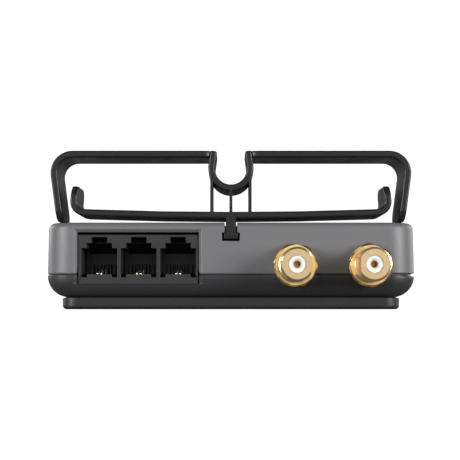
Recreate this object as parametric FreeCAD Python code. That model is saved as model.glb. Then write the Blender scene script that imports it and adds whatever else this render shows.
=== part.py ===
"""Optical network terminal: a two-part housing on a wall plate, with a cable guide on top.

Millimetres. +Z is up, the phone and coax end faces -Y, and the origin is the
centre of the wall plate's underside.
"""
import FreeCAD, Part
import math
import os

V = FreeCAD.Vector
X_AXIS = V(1, 0, 0)
Y_AXIS = V(0, 1, 0)
Z_AXIS = V(0, 0, 1)

TOLERANCE = 1e-4
SMALL_GAP = 0.05

# Housing
HALF_WIDTH = 51.8
HALF_DEPTH = 65.0
WALL = 2.0
SIDE_DRAFT = 0.4
PLAN_CORNER_R = 7.5
SHELL_BOTTOM_Z = 3.4
SEAM_Z = 9.8
TOP_Z = 24.2
TOP_EDGE_R = 1.75
BOTTOM_EDGE_R = 6.0
FLOOR_THICKNESS = 1.5
LIP_HEIGHT = 1.2
LIP_THICKNESS = 0.8
LIP_CLEARANCE = 0.15
PRY_NOTCH_X = 44.0
PRY_NOTCH_BACK_Y = -48.0
PRY_NOTCH_DEPTH = 0.9
PRY_NOTCH_Z = (9.3, 10.1)

# Wall plate
PLATE_HALF_WIDTH = 47.8
PLATE_HALF_DEPTH = 60.6
PLATE_CORNER_R = 4.5
PLATE_TOP_Z = 3.25
PLATE_BOTTOM_EDGE_R = 1.1
PLATE_RIM_TOP_Z = 3.33
PLATE_RIM_INSET = 0.8
PLATE_RIM_WIDTH = 1.2
STUD_X = 32.0
STUD_FRONT_Y = -44.0
STUD_REAR_Y = 32.0
STUD_HEAD_R = 3.6
STUD_NECK_R = 2.0
STUD_HEAD_BOTTOM_Z = 1.1
STUD_HEAD_TOP_Z = 2.1
KEYHOLE_TRAVEL = 12.0
KEYHOLE_CLEARANCE = 0.4
KEYHOLE_FLOOR_Z = 0.8
KEYHOLE_LIP_Z = 2.4
WALL_SCREW_X = 20.0
WALL_SCREW_Y = 35.0
WALL_SCREW_HOLE_R = 2.2
WALL_SCREW_HEAD_R = 4.2

# Screws that hold the two shells and the board
SCREW_X = 42.0
SCREW_FRONT_Y = -38.0
SCREW_REAR_Y = 40.0
SCREW_SHANK_R = 1.45
SCREW_PILOT_R = 1.5
SCREW_PASS_R = 1.7
SCREW_HEAD_R = 2.7
SCREW_HEAD_RECESS_R = 3.0
SCREW_HEAD_BOTTOM_Z = 3.55
SCREW_HEAD_TOP_Z = 4.6
SCREW_TIP_Z = 17.0
SCREW_CROSS_HALF = 1.6
SCREW_CROSS_WIDTH = 0.6
SCREW_CROSS_DEPTH = 0.7
LOWER_BOSS_R = 4.2
UPPER_BOSS_R = 3.4

# Main board
BOARD_BOTTOM_Z = 5.8
BOARD_TOP_Z = 7.0
BOARD_HALF_WIDTH = 46.5
BOARD_HALF_DEPTH = 60.5
BOARD_CORNER_R = 6.0

# Phone jacks, ganged in one block
PHONE_PITCH = 10.94
PHONE_MIDDLE_X = -25.64
PHONE_COUNT = 3
PHONE_BLOCK_X = (-42.4, -9.2)
PHONE_BLOCK_TOP_Z = 20.75
PHONE_FRONT_Y = -64.1
PHONE_BACK_Y = -46.0
PHONE_CAVITY_HALF = 4.97
PHONE_CAVITY_Z = (9.8, 17.0)
PHONE_CAVITY_BACK_Y = -51.1
PHONE_STEP_HALF = 3.52
PHONE_STEP_TOP_Z = 18.45
PHONE_LATCH_HALF = 2.16
PHONE_LATCH_TOP_Z = 20.1
PHONE_NOTCH_WIDTH = 1.5
PHONE_NOTCH_BOTTOM_Z = 8.9
PHONE_RAMP_FRONT_Y = -58.0
PHONE_RAMP_BACK_Z = 15.8
PHONE_COMB_FRONT_Y = -53.2
PHONE_COMB_TOP_Z = 12.9
PHONE_SLIT_PITCH = 1.02
PHONE_SLIT_WIDTH = 0.6
PHONE_SLIT_COUNT = 6
PHONE_GROOVE_BOTTOM_Z = 9.1
PHONE_WIRE_R = 0.22
RECESS_X = (-42.65, -8.95)
RECESS_Z = (6.95, 21.4)
RECESS_BEVEL = 0.85

# Coax connectors: the thread's outside radius, its key flat and the parts on it
COAX_Z = 12.2
COAX_LEFT_X = 17.8
COAX_RIGHT_X = 38.5
COAX_THREAD_R = 4.7
COAX_SHANK_R = 4.5
COAX_FLAT = 3.7
COAX_TIP_Y = -77.0
COAX_BORE_R = 2.4
COAX_PANEL_HOLE_R = 4.7
COAX_FLANGE_R = 5.1
COAX_FLANGE_THICKNESS = 1.5
COAX_TIP_CHAMFER = 0.6
INSULATOR_INSET = 0.35
DISH_R = 1.75
DISH_DEPTH = 0.7
CONTACT_R = 1.1
CONTACT_BORE_R = 0.72
CONTACT_BORE_DEPTH = 8.0
CONTACT_TAIL = 0.8
COAX_BLOCK_HALF = 5.1
COAX_BLOCK_BACK_Y = -52.0
COAX_SHIELD_X = (12.0, 34.0)
COAX_SHIELD_Y = (-46.0, -22.0)
COAX_SHIELD_TOP_Z = 11.5
WASHER_R = 5.9
WASHER_THICKNESS = 0.8
NUT_ACROSS_FLATS = 11.1
NUT_THICKNESS = 2.4
NUT_BORE_R = 4.55
NUT_CHAMFER_CONE_R = 5.5
NUT_CORNER_R = 6.1

# Cable guide and its T-slot
GUIDE_FRONT_Y = -65.0
GUIDE_DEPTH = 16.5
GUIDE_BAR = 1.95
GUIDE_ARM = 1.9
GUIDE_TOP_Z = 43.1
CLIP_R = 4.4
CLIP_Z = 39.1
CLIP_WALL = 1.9
ARM_TIP = (47.55, 25.4)
ARM_CORNER_X = 49.85
ARM_CORNER_R = 5.2
HOOK_TIP = (43.35, 33.5)
HOOK_CORNER = (43.95, 27.05)
HOOK_CORNER_R = 3.0
BOW_MIDDLE_Z = 25.45
BOW_R = 1050.0
CLIP_LEAN = 0.45
CLIP_LEAN_Z = 40.0
CLIP_LEAN_R = 6.0
SIDE_RIB_X = 5.38
SIDE_RIB_THICKNESS = 0.76
MIDDLE_RIB_THICKNESS = 0.85
RIB_FOOT_Z = 26.0
STEM_HALF = 1.45
FOOT_HALF = 1.97
FOOT_Z = (19.5, 21.15)
SLOT_NECK_HALF = 1.75
SLOT_HALF = 2.45
SLOT_Z = (19.0, 21.3)
SLOT_LENGTH = GUIDE_DEPTH + 0.3
CHANNEL_WALL = 1.3

# Far end of the housing
NETWORK_X = -22.0
NETWORK_PITCH = 14.2
NETWORK_HALF = 14.4
NETWORK_TOP_Z = 20.4
NETWORK_FRONT_Y = 64.3
NETWORK_BACK_Y = 48.5
NETWORK_CAVITY_HALF = 5.9
NETWORK_CAVITY_Z = (9.4, 16.2)
NETWORK_CAVITY_DEPTH = 12.5
NETWORK_LATCH_HALF = 3.0
NETWORK_LATCH_TOP_Z = 18.6
NETWORK_CONTACT_PITCH = 1.02
NETWORK_CONTACT_COUNT = 8
NETWORK_WIRE_R = 0.2
NETWORK_WIRE_INSET = 1.5
NETWORK_WIRE_RISE = 2.0
SHIELD_THICKNESS = 0.3
FIBRE_X = 4.0
FIBRE_HALF_WIDTH = 6.4
FIBRE_Z = (8.6, 17.9)
FIBRE_BACK_Y = 42.0
FIBRE_FRONT_Y = 65.8
FIBRE_MOUTH_HALF = 4.55
FIBRE_MOUTH_Z = (9.5, 17.0)
FIBRE_MOUTH_DEPTH = 12.0
FIBRE_FOOT_HALF = 5.0
FIBRE_FOOT_LENGTH = 15.0
FIBRE_KEY_HALF = 1.2
FIBRE_KEY_LENGTH = 7.0
FIBRE_BORE_R = 1.65
SLEEVE_R = 1.6
SLEEVE_BORE_R = 1.25
SLEEVE_START = 0.5
SLEEVE_REACH = 2.5
MODULE_HALF_WIDTH = 7.0
MODULE_START_Y = 14.0
MODULE_TOP_Z = 16.0
MODULE_NOSE_R = 2.6
MODULE_NOSE_LENGTH = 3.0
POWER_X = 20.0
POWER_Z = 13.0
POWER_BLOCK_HALF = 4.6
POWER_BORE_R = 3.2
POWER_PIN_R = 1.05
POWER_BACK_Y = 50.5
POWER_FRONT_GAP = 1.5
POWER_NOSE_WALL = 0.5
POWER_NOSE_INSET = 0.2
POWER_FLOOR = 3.0
POWER_PIN_INSET = 1.8
POWER_PIN_TIP_R = 0.5
RESET_X = 29.5
RESET_Z = 12.0
RESET_HOLE_R = 1.2
RESET_ROD_R = 0.95
RESET_ROD_Y = (55.5, 63.6)
RESET_FLANGE_R = 1.7
RESET_FLANGE_Y = (60.4, 61.6)
RESET_SWITCH_HALF = 3.0
RESET_SWITCH_RISE = 2.5
RESET_SWITCH_Y = (52.0, 57.5)
RESET_SWITCH_BORE_R = 1.3
RESET_SWITCH_BORE_Y = 54.5
BUTTON_X = 38.0
BUTTON_Z = 14.0
BUTTON_R = 3.5
BUTTON_HOLE_R = 3.75
BUTTON_Y = (61.0, 66.8)
BUTTON_EDGE_R = 0.6
BUTTON_FLANGE_R = 4.5
BUTTON_FLANGE_THICKNESS = 1.8
BUTTON_STEM_R = 1.45
BUTTON_STEM_END_Y = 53.0
SWITCH_HALF = 4.0
SWITCH_Y = (46.0, 57.0)
SWITCH_BORE_R = 1.8
SWITCH_BORE_Y = 50.0

# Top of the housing
VENT_COUNT = 8
VENT_PITCH = 3.6
VENT_WIDTH = 1.5
VENT_Y = (14.0, 40.0)
VENT_X = 22.0
LENS_COUNT = 5
LENS_PITCH = 9.0
LENS_Y = -8.0
LENS_HALF = (1.6, 0.6)
LENS_CLEARANCE = 0.1
LENS_PROUD = 0.1
PIPE_BAR_END = 3.0
PIPE_BAR_HALF = 1.6
PIPE_BAR_HEIGHT = 1.8
PIPE_LEG_HALF = 1.0
PIPE_LEG_GAP = 1.2

# Parts on the board
LAMP_HALF = (0.8, 0.6)
LAMP_HEIGHT = 0.9
SINK_X = (-27.0, -3.0)
SINK_Y = (2.0, 26.0)
SINK_BOTTOM = 1.6
SINK_BASE_TOP = 3.2
SINK_TOP = 10.0
FIN_COUNT = 8
FIN_THICKNESS = 1.2
CAN_PLACES = ((24.0, 34.0), (31.5, 34.0), (24.0, 26.5))
CAN_R = 3.0
CAN_HEIGHT = 9.0
CAN_EDGE_R = 0.4
COIL_X = 33.0
COIL_Y = 24.0
COIL_BASE_HALF = 4.5
COIL_BASE_HEIGHT = 0.8
COIL_R = 4.2
COIL_HEIGHT = 4.6
COIL_CAP_R = 4.6
COIL_CAP_HEIGHT = 5.4
PROCESSOR = ((-24.0, -6.0), (5.0, 23.0), 1.6)
MEMORY = ((-24.0, -12.0), (-17.0, -11.5), 1.1)
LINE_CHIP_HALF = 3.5
LINE_CHIP_Y = (-33.0, -26.0)
LINE_CHIP_HEIGHT = 0.9
TRANSFORMER_HALF = 5.0
TRANSFORMER_Y = (34.0, 44.0)
TRANSFORMER_HEIGHT = 5.6


NODES = {}


def box(xs, ys, zs):
    """Block between two x, two y and two z values."""
    return Part.makeBox(xs[1] - xs[0], ys[1] - ys[0], zs[1] - zs[0], V(xs[0], ys[0], zs[0]))


def rod_y(x, z, radius, ys):
    """Cylinder along Y between two y values."""
    return Part.makeCylinder(radius, ys[1] - ys[0], V(x, ys[0], z), Y_AXIS)


def rod_z(x, y, radius, zs):
    """Cylinder along Z between two z values."""
    return Part.makeCylinder(radius, zs[1] - zs[0], V(x, y, zs[0]), Z_AXIS)


def joined(shapes):
    """One clean solid from touching or overlapping shapes."""
    first = shapes[0]
    if len(shapes) > 1:
        first = first.fuse(shapes[1:])
    return first.removeSplitter()


def prism(points, start, along):
    """Straight prism from a closed outline of points, moved to start and pushed along a vector."""
    outline = Part.makePolygon([start + p for p in points + points[:1]])
    return Part.Face(outline).extrude(along)


def rounded_outline(half_x, half_y, radius, z):
    """Closed wire of a rectangle with rounded corners, centred on the Z axis."""
    edges = []
    corners = [(1, 1), (-1, 1), (-1, -1), (1, -1)]
    for index, (sx, sy) in enumerate(corners):
        centre = V(sx * (half_x - radius), sy * (half_y - radius), z)
        turn = math.radians(90 * index)
        ends = [centre + V(math.cos(turn + a), math.sin(turn + a), 0) * radius
                for a in (0, math.pi / 4, math.pi / 2)]
        edges.append(Part.Arc(*ends).toShape())
    sides = []
    for index, edge in enumerate(edges):
        following = edges[(index + 1) % 4]
        sides.append(edge)
        sides.append(Part.LineSegment(edge.valueAt(edge.LastParameter),
                                      following.valueAt(following.FirstParameter)).toShape())
    return Part.Wire(sides)


def rounded_block(half_x, half_y, radius, zs):
    """Upright block with rounded vertical edges."""
    face = Part.Face(rounded_outline(half_x, half_y, radius, zs[0]))
    return face.extrude(V(0, 0, zs[1] - zs[0]))


def edges_at(shape, z):
    """Edges of a shape that lie wholly at one height."""
    return [e for e in shape.Edges
            if abs(e.BoundBox.ZMin - z) < TOLERANCE and abs(e.BoundBox.ZMax - z) < TOLERANCE]


def drafted_block(half_x, half_y, radius, zs, draft):
    """Rounded block whose two long sides lean in by draft at the top."""
    low = rounded_outline(half_x, half_y, radius, zs[0])
    high = rounded_outline(half_x - draft, half_y, radius, zs[1])
    return Part.makeLoft([low, high], True, True)


def screw_places():
    """The four places where the shells and the board are screwed together."""
    return [(sx * SCREW_X, y) for sx in (-1, 1) for y in (SCREW_FRONT_Y, SCREW_REAR_Y)]


def phone_centres():
    """Centre x of each phone jack."""
    return [PHONE_MIDDLE_X + (i - 1) * PHONE_PITCH for i in range(PHONE_COUNT)]


def recess_cutter():
    """Opening for the phone block, with a bevelled mouth on its sides and top."""
    xs, zs = RECESS_X, RECESS_Z
    front = -HALF_DEPTH
    straight = box(xs, (front - 1, front + 4), zs)
    bevel = RECESS_BEVEL
    mouth = Part.makeLoft([
        Part.makePolygon([V(xs[0] - bevel, front, zs[0]), V(xs[1] + bevel, front, zs[0]),
                          V(xs[1] + bevel, front, zs[1] + bevel), V(xs[0] - bevel, front, zs[1] + bevel),
                          V(xs[0] - bevel, front, zs[0])]),
        Part.makePolygon([V(xs[0], front + bevel, zs[0]), V(xs[1], front + bevel, zs[0]),
                          V(xs[1], front + bevel, zs[1]), V(xs[0], front + bevel, zs[1]),
                          V(xs[0], front + bevel, zs[0])]),
    ], True, True)
    return straight.fuse(mouth)


def end_openings():
    """Everything cut through the two end walls."""
    front = (-HALF_DEPTH - 1, -HALF_DEPTH + WALL + 1)
    rear = (HALF_DEPTH - WALL - 1, HALF_DEPTH + 1)
    gap = 0.2
    shield = NETWORK_HALF + SHIELD_THICKNESS + gap
    cuts = [recess_cutter(), pry_notch()]
    for x in (COAX_LEFT_X, COAX_RIGHT_X):
        cuts.append(rod_y(x, COAX_Z, COAX_PANEL_HOLE_R, front))
    cuts.append(box((NETWORK_X - shield, NETWORK_X + shield), rear,
                    (BOARD_TOP_Z - gap, NETWORK_TOP_Z + SHIELD_THICKNESS + gap)))
    cuts.append(box((FIBRE_X - FIBRE_HALF_WIDTH - gap, FIBRE_X + FIBRE_HALF_WIDTH + gap), rear,
                    (FIBRE_Z[0] - gap, FIBRE_Z[1] + gap)))
    cuts.append(rod_y(POWER_X, POWER_Z, POWER_BORE_R + 0.6, rear))
    cuts.append(rod_y(RESET_X, RESET_Z, RESET_HOLE_R, rear))
    cuts.append(rod_y(BUTTON_X, BUTTON_Z, BUTTON_HOLE_R, rear))
    return cuts


def pry_notch():
    """Gap in the seam around the front right corner, where a blade opens the shells."""
    outer = rounded_block(HALF_WIDTH + 1, HALF_DEPTH + 1, PLAN_CORNER_R + 1, PRY_NOTCH_Z)
    inner = rounded_block(HALF_WIDTH - PRY_NOTCH_DEPTH, HALF_DEPTH - PRY_NOTCH_DEPTH,
                          PLAN_CORNER_R - PRY_NOTCH_DEPTH, PRY_NOTCH_Z)
    corner = box((PRY_NOTCH_X, HALF_WIDTH + 1), (-HALF_DEPTH - 1, PRY_NOTCH_BACK_Y), PRY_NOTCH_Z)
    return outer.cut(inner).common(corner)


def slot_cutters():
    """T-slot that takes the foot and stem of the cable guide."""
    ys = (-HALF_DEPTH - 1, -HALF_DEPTH + SLOT_LENGTH)
    wide = box((-SLOT_HALF, SLOT_HALF), ys, SLOT_Z)
    neck = box((-SLOT_NECK_HALF, SLOT_NECK_HALF), ys, (SLOT_Z[0], TOP_Z + 1))
    return [wide, neck]


def vent_cutters():
    """Two groups of slots through the top."""
    cuts = []
    for side in (-1, 1):
        for i in range(VENT_COUNT):
            x = side * VENT_X + (i - (VENT_COUNT - 1) / 2) * VENT_PITCH
            cuts.append(box((x - VENT_WIDTH / 2, x + VENT_WIDTH / 2), VENT_Y, (TOP_Z - 3, TOP_Z + 1)))
    return cuts


def lens_centres():
    """Centre x of each indicator lens."""
    return [(i - (LENS_COUNT - 1) / 2) * LENS_PITCH for i in range(LENS_COUNT)]


def build_upper_shell():
    """Upper shell with its guide channel, screw bosses, vents, lens windows and end openings."""
    outer = drafted_block(HALF_WIDTH, HALF_DEPTH, PLAN_CORNER_R, (SEAM_Z, TOP_Z), SIDE_DRAFT)
    outer = outer.makeFillet(TOP_EDGE_R, edges_at(outer, TOP_Z))
    inner = drafted_block(HALF_WIDTH - WALL, HALF_DEPTH - WALL, PLAN_CORNER_R - WALL,
                          (SEAM_Z - 1, TOP_Z - WALL), SIDE_DRAFT)
    shell = outer.cut(inner)
    channel = box((-SLOT_HALF - CHANNEL_WALL, SLOT_HALF + CHANNEL_WALL),
                  (-HALF_DEPTH + WALL / 2, -HALF_DEPTH + SLOT_LENGTH + CHANNEL_WALL),
                  (SLOT_Z[0] - CHANNEL_WALL, TOP_Z - WALL / 2))
    bosses = [rod_z(x, y, UPPER_BOSS_R, (BOARD_TOP_Z, TOP_Z - WALL / 2)) for x, y in screw_places()]
    shell = joined([shell, channel] + bosses)
    cuts = [rod_z(x, y, SCREW_PILOT_R, (BOARD_TOP_Z - 1, SCREW_TIP_Z + 0.5)) for x, y in screw_places()]
    cuts += end_openings() + slot_cutters() + vent_cutters()
    for x in lens_centres():
        half_x = LENS_HALF[0] + LENS_CLEARANCE
        half_y = LENS_HALF[1] + LENS_CLEARANCE
        cuts.append(box((x - half_x, x + half_x), (LENS_Y - half_y, LENS_Y + half_y),
                        (TOP_Z - 3, TOP_Z + 1)))
    return shell.cut(cuts)


def lower_shell_lip():
    """Tongue inside the seam that lines the two shells up."""
    outside = WALL + LIP_CLEARANCE
    inside = outside + LIP_THICKNESS
    root = WALL - LIP_CLEARANCE
    zs = (SEAM_Z - 1.5, SEAM_Z + LIP_HEIGHT)
    ring = rounded_block(HALF_WIDTH - outside, HALF_DEPTH - outside, PLAN_CORNER_R - outside, zs)
    ring = ring.fuse(rounded_block(HALF_WIDTH - root, HALF_DEPTH - root, PLAN_CORNER_R - root,
                                   (zs[0], SEAM_Z)))
    ring = ring.cut(rounded_block(HALF_WIDTH - inside, HALF_DEPTH - inside, PLAN_CORNER_R - inside,
                                  (zs[0] - 1, zs[1] + 1)))
    gaps = [box((-HALF_WIDTH + 4, HALF_WIDTH - 4), (-HALF_DEPTH, -HALF_DEPTH + 5), (zs[0] - 1, zs[1] + 1)),
            box((-HALF_WIDTH + 4, HALF_WIDTH - 4), (HALF_DEPTH - 5, HALF_DEPTH), (zs[0] - 1, zs[1] + 1))]
    return ring.cut(gaps)


def stud(x, y):
    """Mushroom stud on the lower shell that hooks into a keyhole of the wall plate."""
    head = rod_z(x, y, STUD_HEAD_R, (STUD_HEAD_BOTTOM_Z, STUD_HEAD_TOP_Z))
    neck = rod_z(x, y, STUD_NECK_R, (STUD_HEAD_BOTTOM_Z, SHELL_BOTTOM_Z + 0.5))
    return head.fuse(neck)


def stud_places():
    """The four places where the housing hooks into the wall plate."""
    return [(sx * STUD_X, y) for sx in (-1, 1) for y in (STUD_FRONT_Y, STUD_REAR_Y)]


def build_lower_shell():
    """Lower shell with its lip, screw bosses and the studs for the wall plate."""
    outer = rounded_block(HALF_WIDTH, HALF_DEPTH, PLAN_CORNER_R, (SHELL_BOTTOM_Z, SEAM_Z))
    outer = outer.makeFillet(BOTTOM_EDGE_R, edges_at(outer, SHELL_BOTTOM_Z))
    floor_z = SHELL_BOTTOM_Z + FLOOR_THICKNESS
    inner = rounded_block(HALF_WIDTH - WALL, HALF_DEPTH - WALL, PLAN_CORNER_R - WALL, (floor_z, SEAM_Z + 1))
    inner = inner.makeFillet(BOTTOM_EDGE_R - FLOOR_THICKNESS, edges_at(inner, floor_z))
    shell = outer.cut(inner)
    bosses = [rod_z(x, y, LOWER_BOSS_R, (SHELL_BOTTOM_Z + 0.2, BOARD_BOTTOM_Z)) for x, y in screw_places()]
    studs = [stud(x, y) for x, y in stud_places()]
    shell = joined([shell, lower_shell_lip()] + bosses + studs)
    cuts = [rod_z(x, y, SCREW_PASS_R, (SHELL_BOTTOM_Z - 1, BOARD_BOTTOM_Z + 1)) for x, y in screw_places()]
    cuts += [rod_z(x, y, SCREW_HEAD_RECESS_R, (SHELL_BOTTOM_Z - 1, SCREW_HEAD_TOP_Z))
             for x, y in screw_places()]
    inside = -HALF_DEPTH + WALL
    for x in (COAX_LEFT_X, COAX_RIGHT_X):
        cuts.append(rod_y(x, COAX_Z, COAX_FLANGE_R + 0.2, (inside, inside + 3)))
    return shell.cut(cuts + end_openings())


def keyhole(x, y):
    """Undercut slot in the wall plate: an entry window and a narrower neck for the stud."""
    wide = STUD_HEAD_R + KEYHOLE_CLEARANCE
    neck = STUD_NECK_R + KEYHOLE_CLEARANCE
    far = y + KEYHOLE_TRAVEL
    under = (KEYHOLE_FLOOR_Z, KEYHOLE_LIP_Z)
    through = (KEYHOLE_FLOOR_Z, PLATE_TOP_Z + 1)
    return [rod_z(x, y, wide, under),
            box((x - wide, x + wide), (y, far), under),
            rod_z(x, y, neck, through),
            box((x - neck, x + neck), (y, far), through),
            rod_z(x, far, wide, through)]


def wall_screw_places():
    """The four screw holes of the wall plate."""
    return [(sx * WALL_SCREW_X, sy * WALL_SCREW_Y) for sx in (-1, 1) for sy in (-1, 1)]


def build_wall_plate():
    """Wall plate with a low rim, four keyholes and four countersunk screw holes."""
    plate = rounded_block(PLATE_HALF_WIDTH, PLATE_HALF_DEPTH, PLATE_CORNER_R, (0, PLATE_TOP_Z))
    plate = plate.makeFillet(PLATE_BOTTOM_EDGE_R, edges_at(plate, 0))
    zs = (PLATE_TOP_Z - 0.5, PLATE_RIM_TOP_Z)
    outside, inside = PLATE_RIM_INSET, PLATE_RIM_INSET + PLATE_RIM_WIDTH
    rim = rounded_block(PLATE_HALF_WIDTH - outside, PLATE_HALF_DEPTH - outside,
                        PLATE_CORNER_R - outside, zs)
    rim = rim.cut(rounded_block(PLATE_HALF_WIDTH - inside, PLATE_HALF_DEPTH - inside,
                                PLATE_CORNER_R - inside, (zs[0] - 1, zs[1] + 1)))
    plate = joined([plate, rim])
    cuts = []
    for x, y in stud_places():
        cuts += keyhole(x, y)
    for x, y in wall_screw_places():
        cuts.append(rod_z(x, y, WALL_SCREW_HOLE_R, (-1, PLATE_TOP_Z + 1)))
        rise = WALL_SCREW_HEAD_R - WALL_SCREW_HOLE_R
        cuts.append(Part.makeCone(WALL_SCREW_HOLE_R, WALL_SCREW_HEAD_R, rise / 2,
                                  V(x, y, PLATE_TOP_Z - rise / 2), Z_AXIS))
    return plate.cut(cuts)


def build_housing_screws():
    """The four screws that clamp the two shells and the board."""
    screws = []
    long_half = SCREW_CROSS_HALF
    short_half = SCREW_CROSS_WIDTH / 2
    zs = (SCREW_HEAD_BOTTOM_Z - 1, SCREW_HEAD_BOTTOM_Z + SCREW_CROSS_DEPTH)
    for x, y in screw_places():
        head = rod_z(x, y, SCREW_HEAD_R, (SCREW_HEAD_BOTTOM_Z, SCREW_HEAD_TOP_Z))
        shank = rod_z(x, y, SCREW_SHANK_R, (SCREW_HEAD_BOTTOM_Z, SCREW_TIP_Z))
        cross = [box((x - long_half, x + long_half), (y - short_half, y + short_half), zs),
                 box((x - short_half, x + short_half), (y - long_half, y + long_half), zs)]
        screws.append(head.fuse(shank).cut(cross))
    return Part.makeCompound(screws)


def build_main_board():
    """Main board with clearance holes for the housing screws."""
    board = rounded_block(BOARD_HALF_WIDTH, BOARD_HALF_DEPTH, BOARD_CORNER_R, (BOARD_BOTTOM_Z, BOARD_TOP_Z))
    return board.cut([rod_z(x, y, SCREW_PASS_R, (BOARD_BOTTOM_Z - 1, BOARD_TOP_Z + 1))
                      for x, y in screw_places()])


def phone_cavity(x):
    """Hollow of one phone jack, in the stepped shape of a plug with its latch on top."""
    ys = (PHONE_FRONT_Y - 1, PHONE_CAVITY_BACK_Y)
    half = PHONE_CAVITY_HALF
    low, high = PHONE_CAVITY_Z
    parts = [box((x - half, x + half), ys, (low, high)),
             box((x - PHONE_STEP_HALF, x + PHONE_STEP_HALF), ys, (low, PHONE_STEP_TOP_Z)),
             box((x - PHONE_LATCH_HALF, x + PHONE_LATCH_HALF), ys, (low, PHONE_LATCH_TOP_Z))]
    notch_ys = (PHONE_FRONT_Y - 1, PHONE_FRONT_Y + 3)
    for inner, outer in ((-half, -half + PHONE_NOTCH_WIDTH), (half - PHONE_NOTCH_WIDTH, half)):
        parts.append(box((x + inner, x + outer), notch_ys, (PHONE_NOTCH_BOTTOM_Z, low)))
    return joined(parts)


def phone_fill(x):
    """Ramp under the latch and toothed comb at the back of one phone jack."""
    back = PHONE_CAVITY_BACK_Y + 0.5
    ramp_top = PHONE_STEP_TOP_Z + 0.2
    ramp = prism([V(0, PHONE_RAMP_FRONT_Y, ramp_top), V(0, back, ramp_top), V(0, back, PHONE_RAMP_BACK_Z)],
                 V(x - PHONE_STEP_HALF, 0, 0), X_AXIS * (2 * PHONE_STEP_HALF))
    comb = box((x - PHONE_STEP_HALF, x + PHONE_STEP_HALF), (PHONE_COMB_FRONT_Y, back),
               (PHONE_CAVITY_Z[0] - 0.2, PHONE_COMB_TOP_Z))
    slits = []
    for i in range(PHONE_SLIT_COUNT):
        centre = x + (i - (PHONE_SLIT_COUNT - 1) / 2) * PHONE_SLIT_PITCH
        slits.append(box((centre - PHONE_SLIT_WIDTH / 2, centre + PHONE_SLIT_WIDTH / 2),
                         (PHONE_COMB_FRONT_Y - 1, PHONE_CAVITY_BACK_Y),
                         (PHONE_CAVITY_Z[0], PHONE_COMB_TOP_Z + 1)))
    return [ramp, comb.cut(slits)]


def wire_centres(x):
    """Centre x of the two contact wires of one phone jack."""
    return (x - PHONE_SLIT_PITCH / 2, x + PHONE_SLIT_PITCH / 2)


def build_phone_jack_block():
    """Block of ganged phone jacks, with combs and grooves for the contact wires."""
    block = box(PHONE_BLOCK_X, (PHONE_FRONT_Y, PHONE_BACK_Y), (BOARD_TOP_Z, PHONE_BLOCK_TOP_Z))
    block = block.cut([phone_cavity(x) for x in phone_centres()])
    fills = []
    for x in phone_centres():
        fills += phone_fill(x)
    block = joined([block] + fills)
    grooves = []
    for x in phone_centres():
        for wire in wire_centres(x):
            half = PHONE_SLIT_WIDTH / 2
            grooves.append(box((wire - half, wire + half), (PHONE_FRONT_Y + 0.2, PHONE_CAVITY_BACK_Y),
                               (PHONE_GROOVE_BOTTOM_Z, PHONE_CAVITY_Z[0] + 0.5)))
            grooves.append(box((wire - half, wire + half), (PHONE_CAVITY_BACK_Y - 0.8, PHONE_CAVITY_BACK_Y),
                               (BOARD_TOP_Z - 1, PHONE_CAVITY_Z[0])))
    return block.cut(grooves)


def bent_wire(points, radius):
    """Round wire through a list of points, with ball corners."""
    pieces = []
    for start, end in zip(points, points[1:]):
        pieces.append(Part.makeCylinder(radius, (end - start).Length, start, end - start))
    pieces += [Part.makeSphere(radius, p) for p in points[1:-1]]
    return joined(pieces)


def build_phone_contacts():
    """Two sprung contact wires in each phone jack, with their tails down to the board."""
    wires = []
    back = PHONE_CAVITY_BACK_Y - 0.4
    for x in phone_centres():
        for wire in wire_centres(x):
            wires.append(bent_wire([V(wire, PHONE_FRONT_Y + 0.6, PHONE_GROOVE_BOTTOM_Z + 0.4),
                                    V(wire, back, PHONE_COMB_TOP_Z - 1.2),
                                    V(wire, back, BOARD_TOP_Z)], PHONE_WIRE_R))
    return Part.makeCompound(wires)


def build_coax_barrel(x, flat_side):
    """Threaded barrel with its key flat, flange and the block that is soldered to the board."""
    inside = -HALF_DEPTH + WALL
    nut_face = -HALF_DEPTH - WASHER_THICKNESS - NUT_THICKNESS
    flange_back = inside + COAX_FLANGE_THICKNESS
    thread = rod_y(x, COAX_Z, COAX_THREAD_R, (COAX_TIP_Y, nut_face))
    thread = thread.makeChamfer(COAX_TIP_CHAMFER,
                                [e for e in thread.Edges if abs(e.BoundBox.YMax - COAX_TIP_Y) < TOLERANCE])
    beyond = 2 * COAX_THREAD_R
    cut_x = sorted((x + flat_side * COAX_FLAT, x + flat_side * beyond))
    thread = thread.cut(box(cut_x, (COAX_TIP_Y - 1, nut_face), (COAX_Z - beyond, COAX_Z + beyond)))
    shank = rod_y(x, COAX_Z, COAX_SHANK_R, (nut_face, inside))
    flange = rod_y(x, COAX_Z, COAX_FLANGE_R, (inside, flange_back))
    block = box((x - COAX_BLOCK_HALF, x + COAX_BLOCK_HALF), (flange_back, COAX_BLOCK_BACK_Y),
                (BOARD_TOP_Z, COAX_Z + COAX_BLOCK_HALF))
    barrel = joined([thread, shank, flange, block])
    return barrel.cut(rod_y(x, COAX_Z, COAX_BORE_R, (COAX_TIP_Y - 1, COAX_BLOCK_BACK_Y + 1)))


def build_coax_insulator(x):
    """White insulator with a dished front face."""
    front = COAX_TIP_Y + INSULATOR_INSET
    bore_r = CONTACT_R + SMALL_GAP
    body = rod_y(x, COAX_Z, COAX_BORE_R - SMALL_GAP, (front, COAX_BLOCK_BACK_Y))
    dish = Part.makeCone(DISH_R, bore_r, DISH_DEPTH, V(x, front, COAX_Z), Y_AXIS)
    bore = rod_y(x, COAX_Z, bore_r, (front - 1, COAX_BLOCK_BACK_Y + 1))
    return body.cut([dish, bore])


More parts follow.
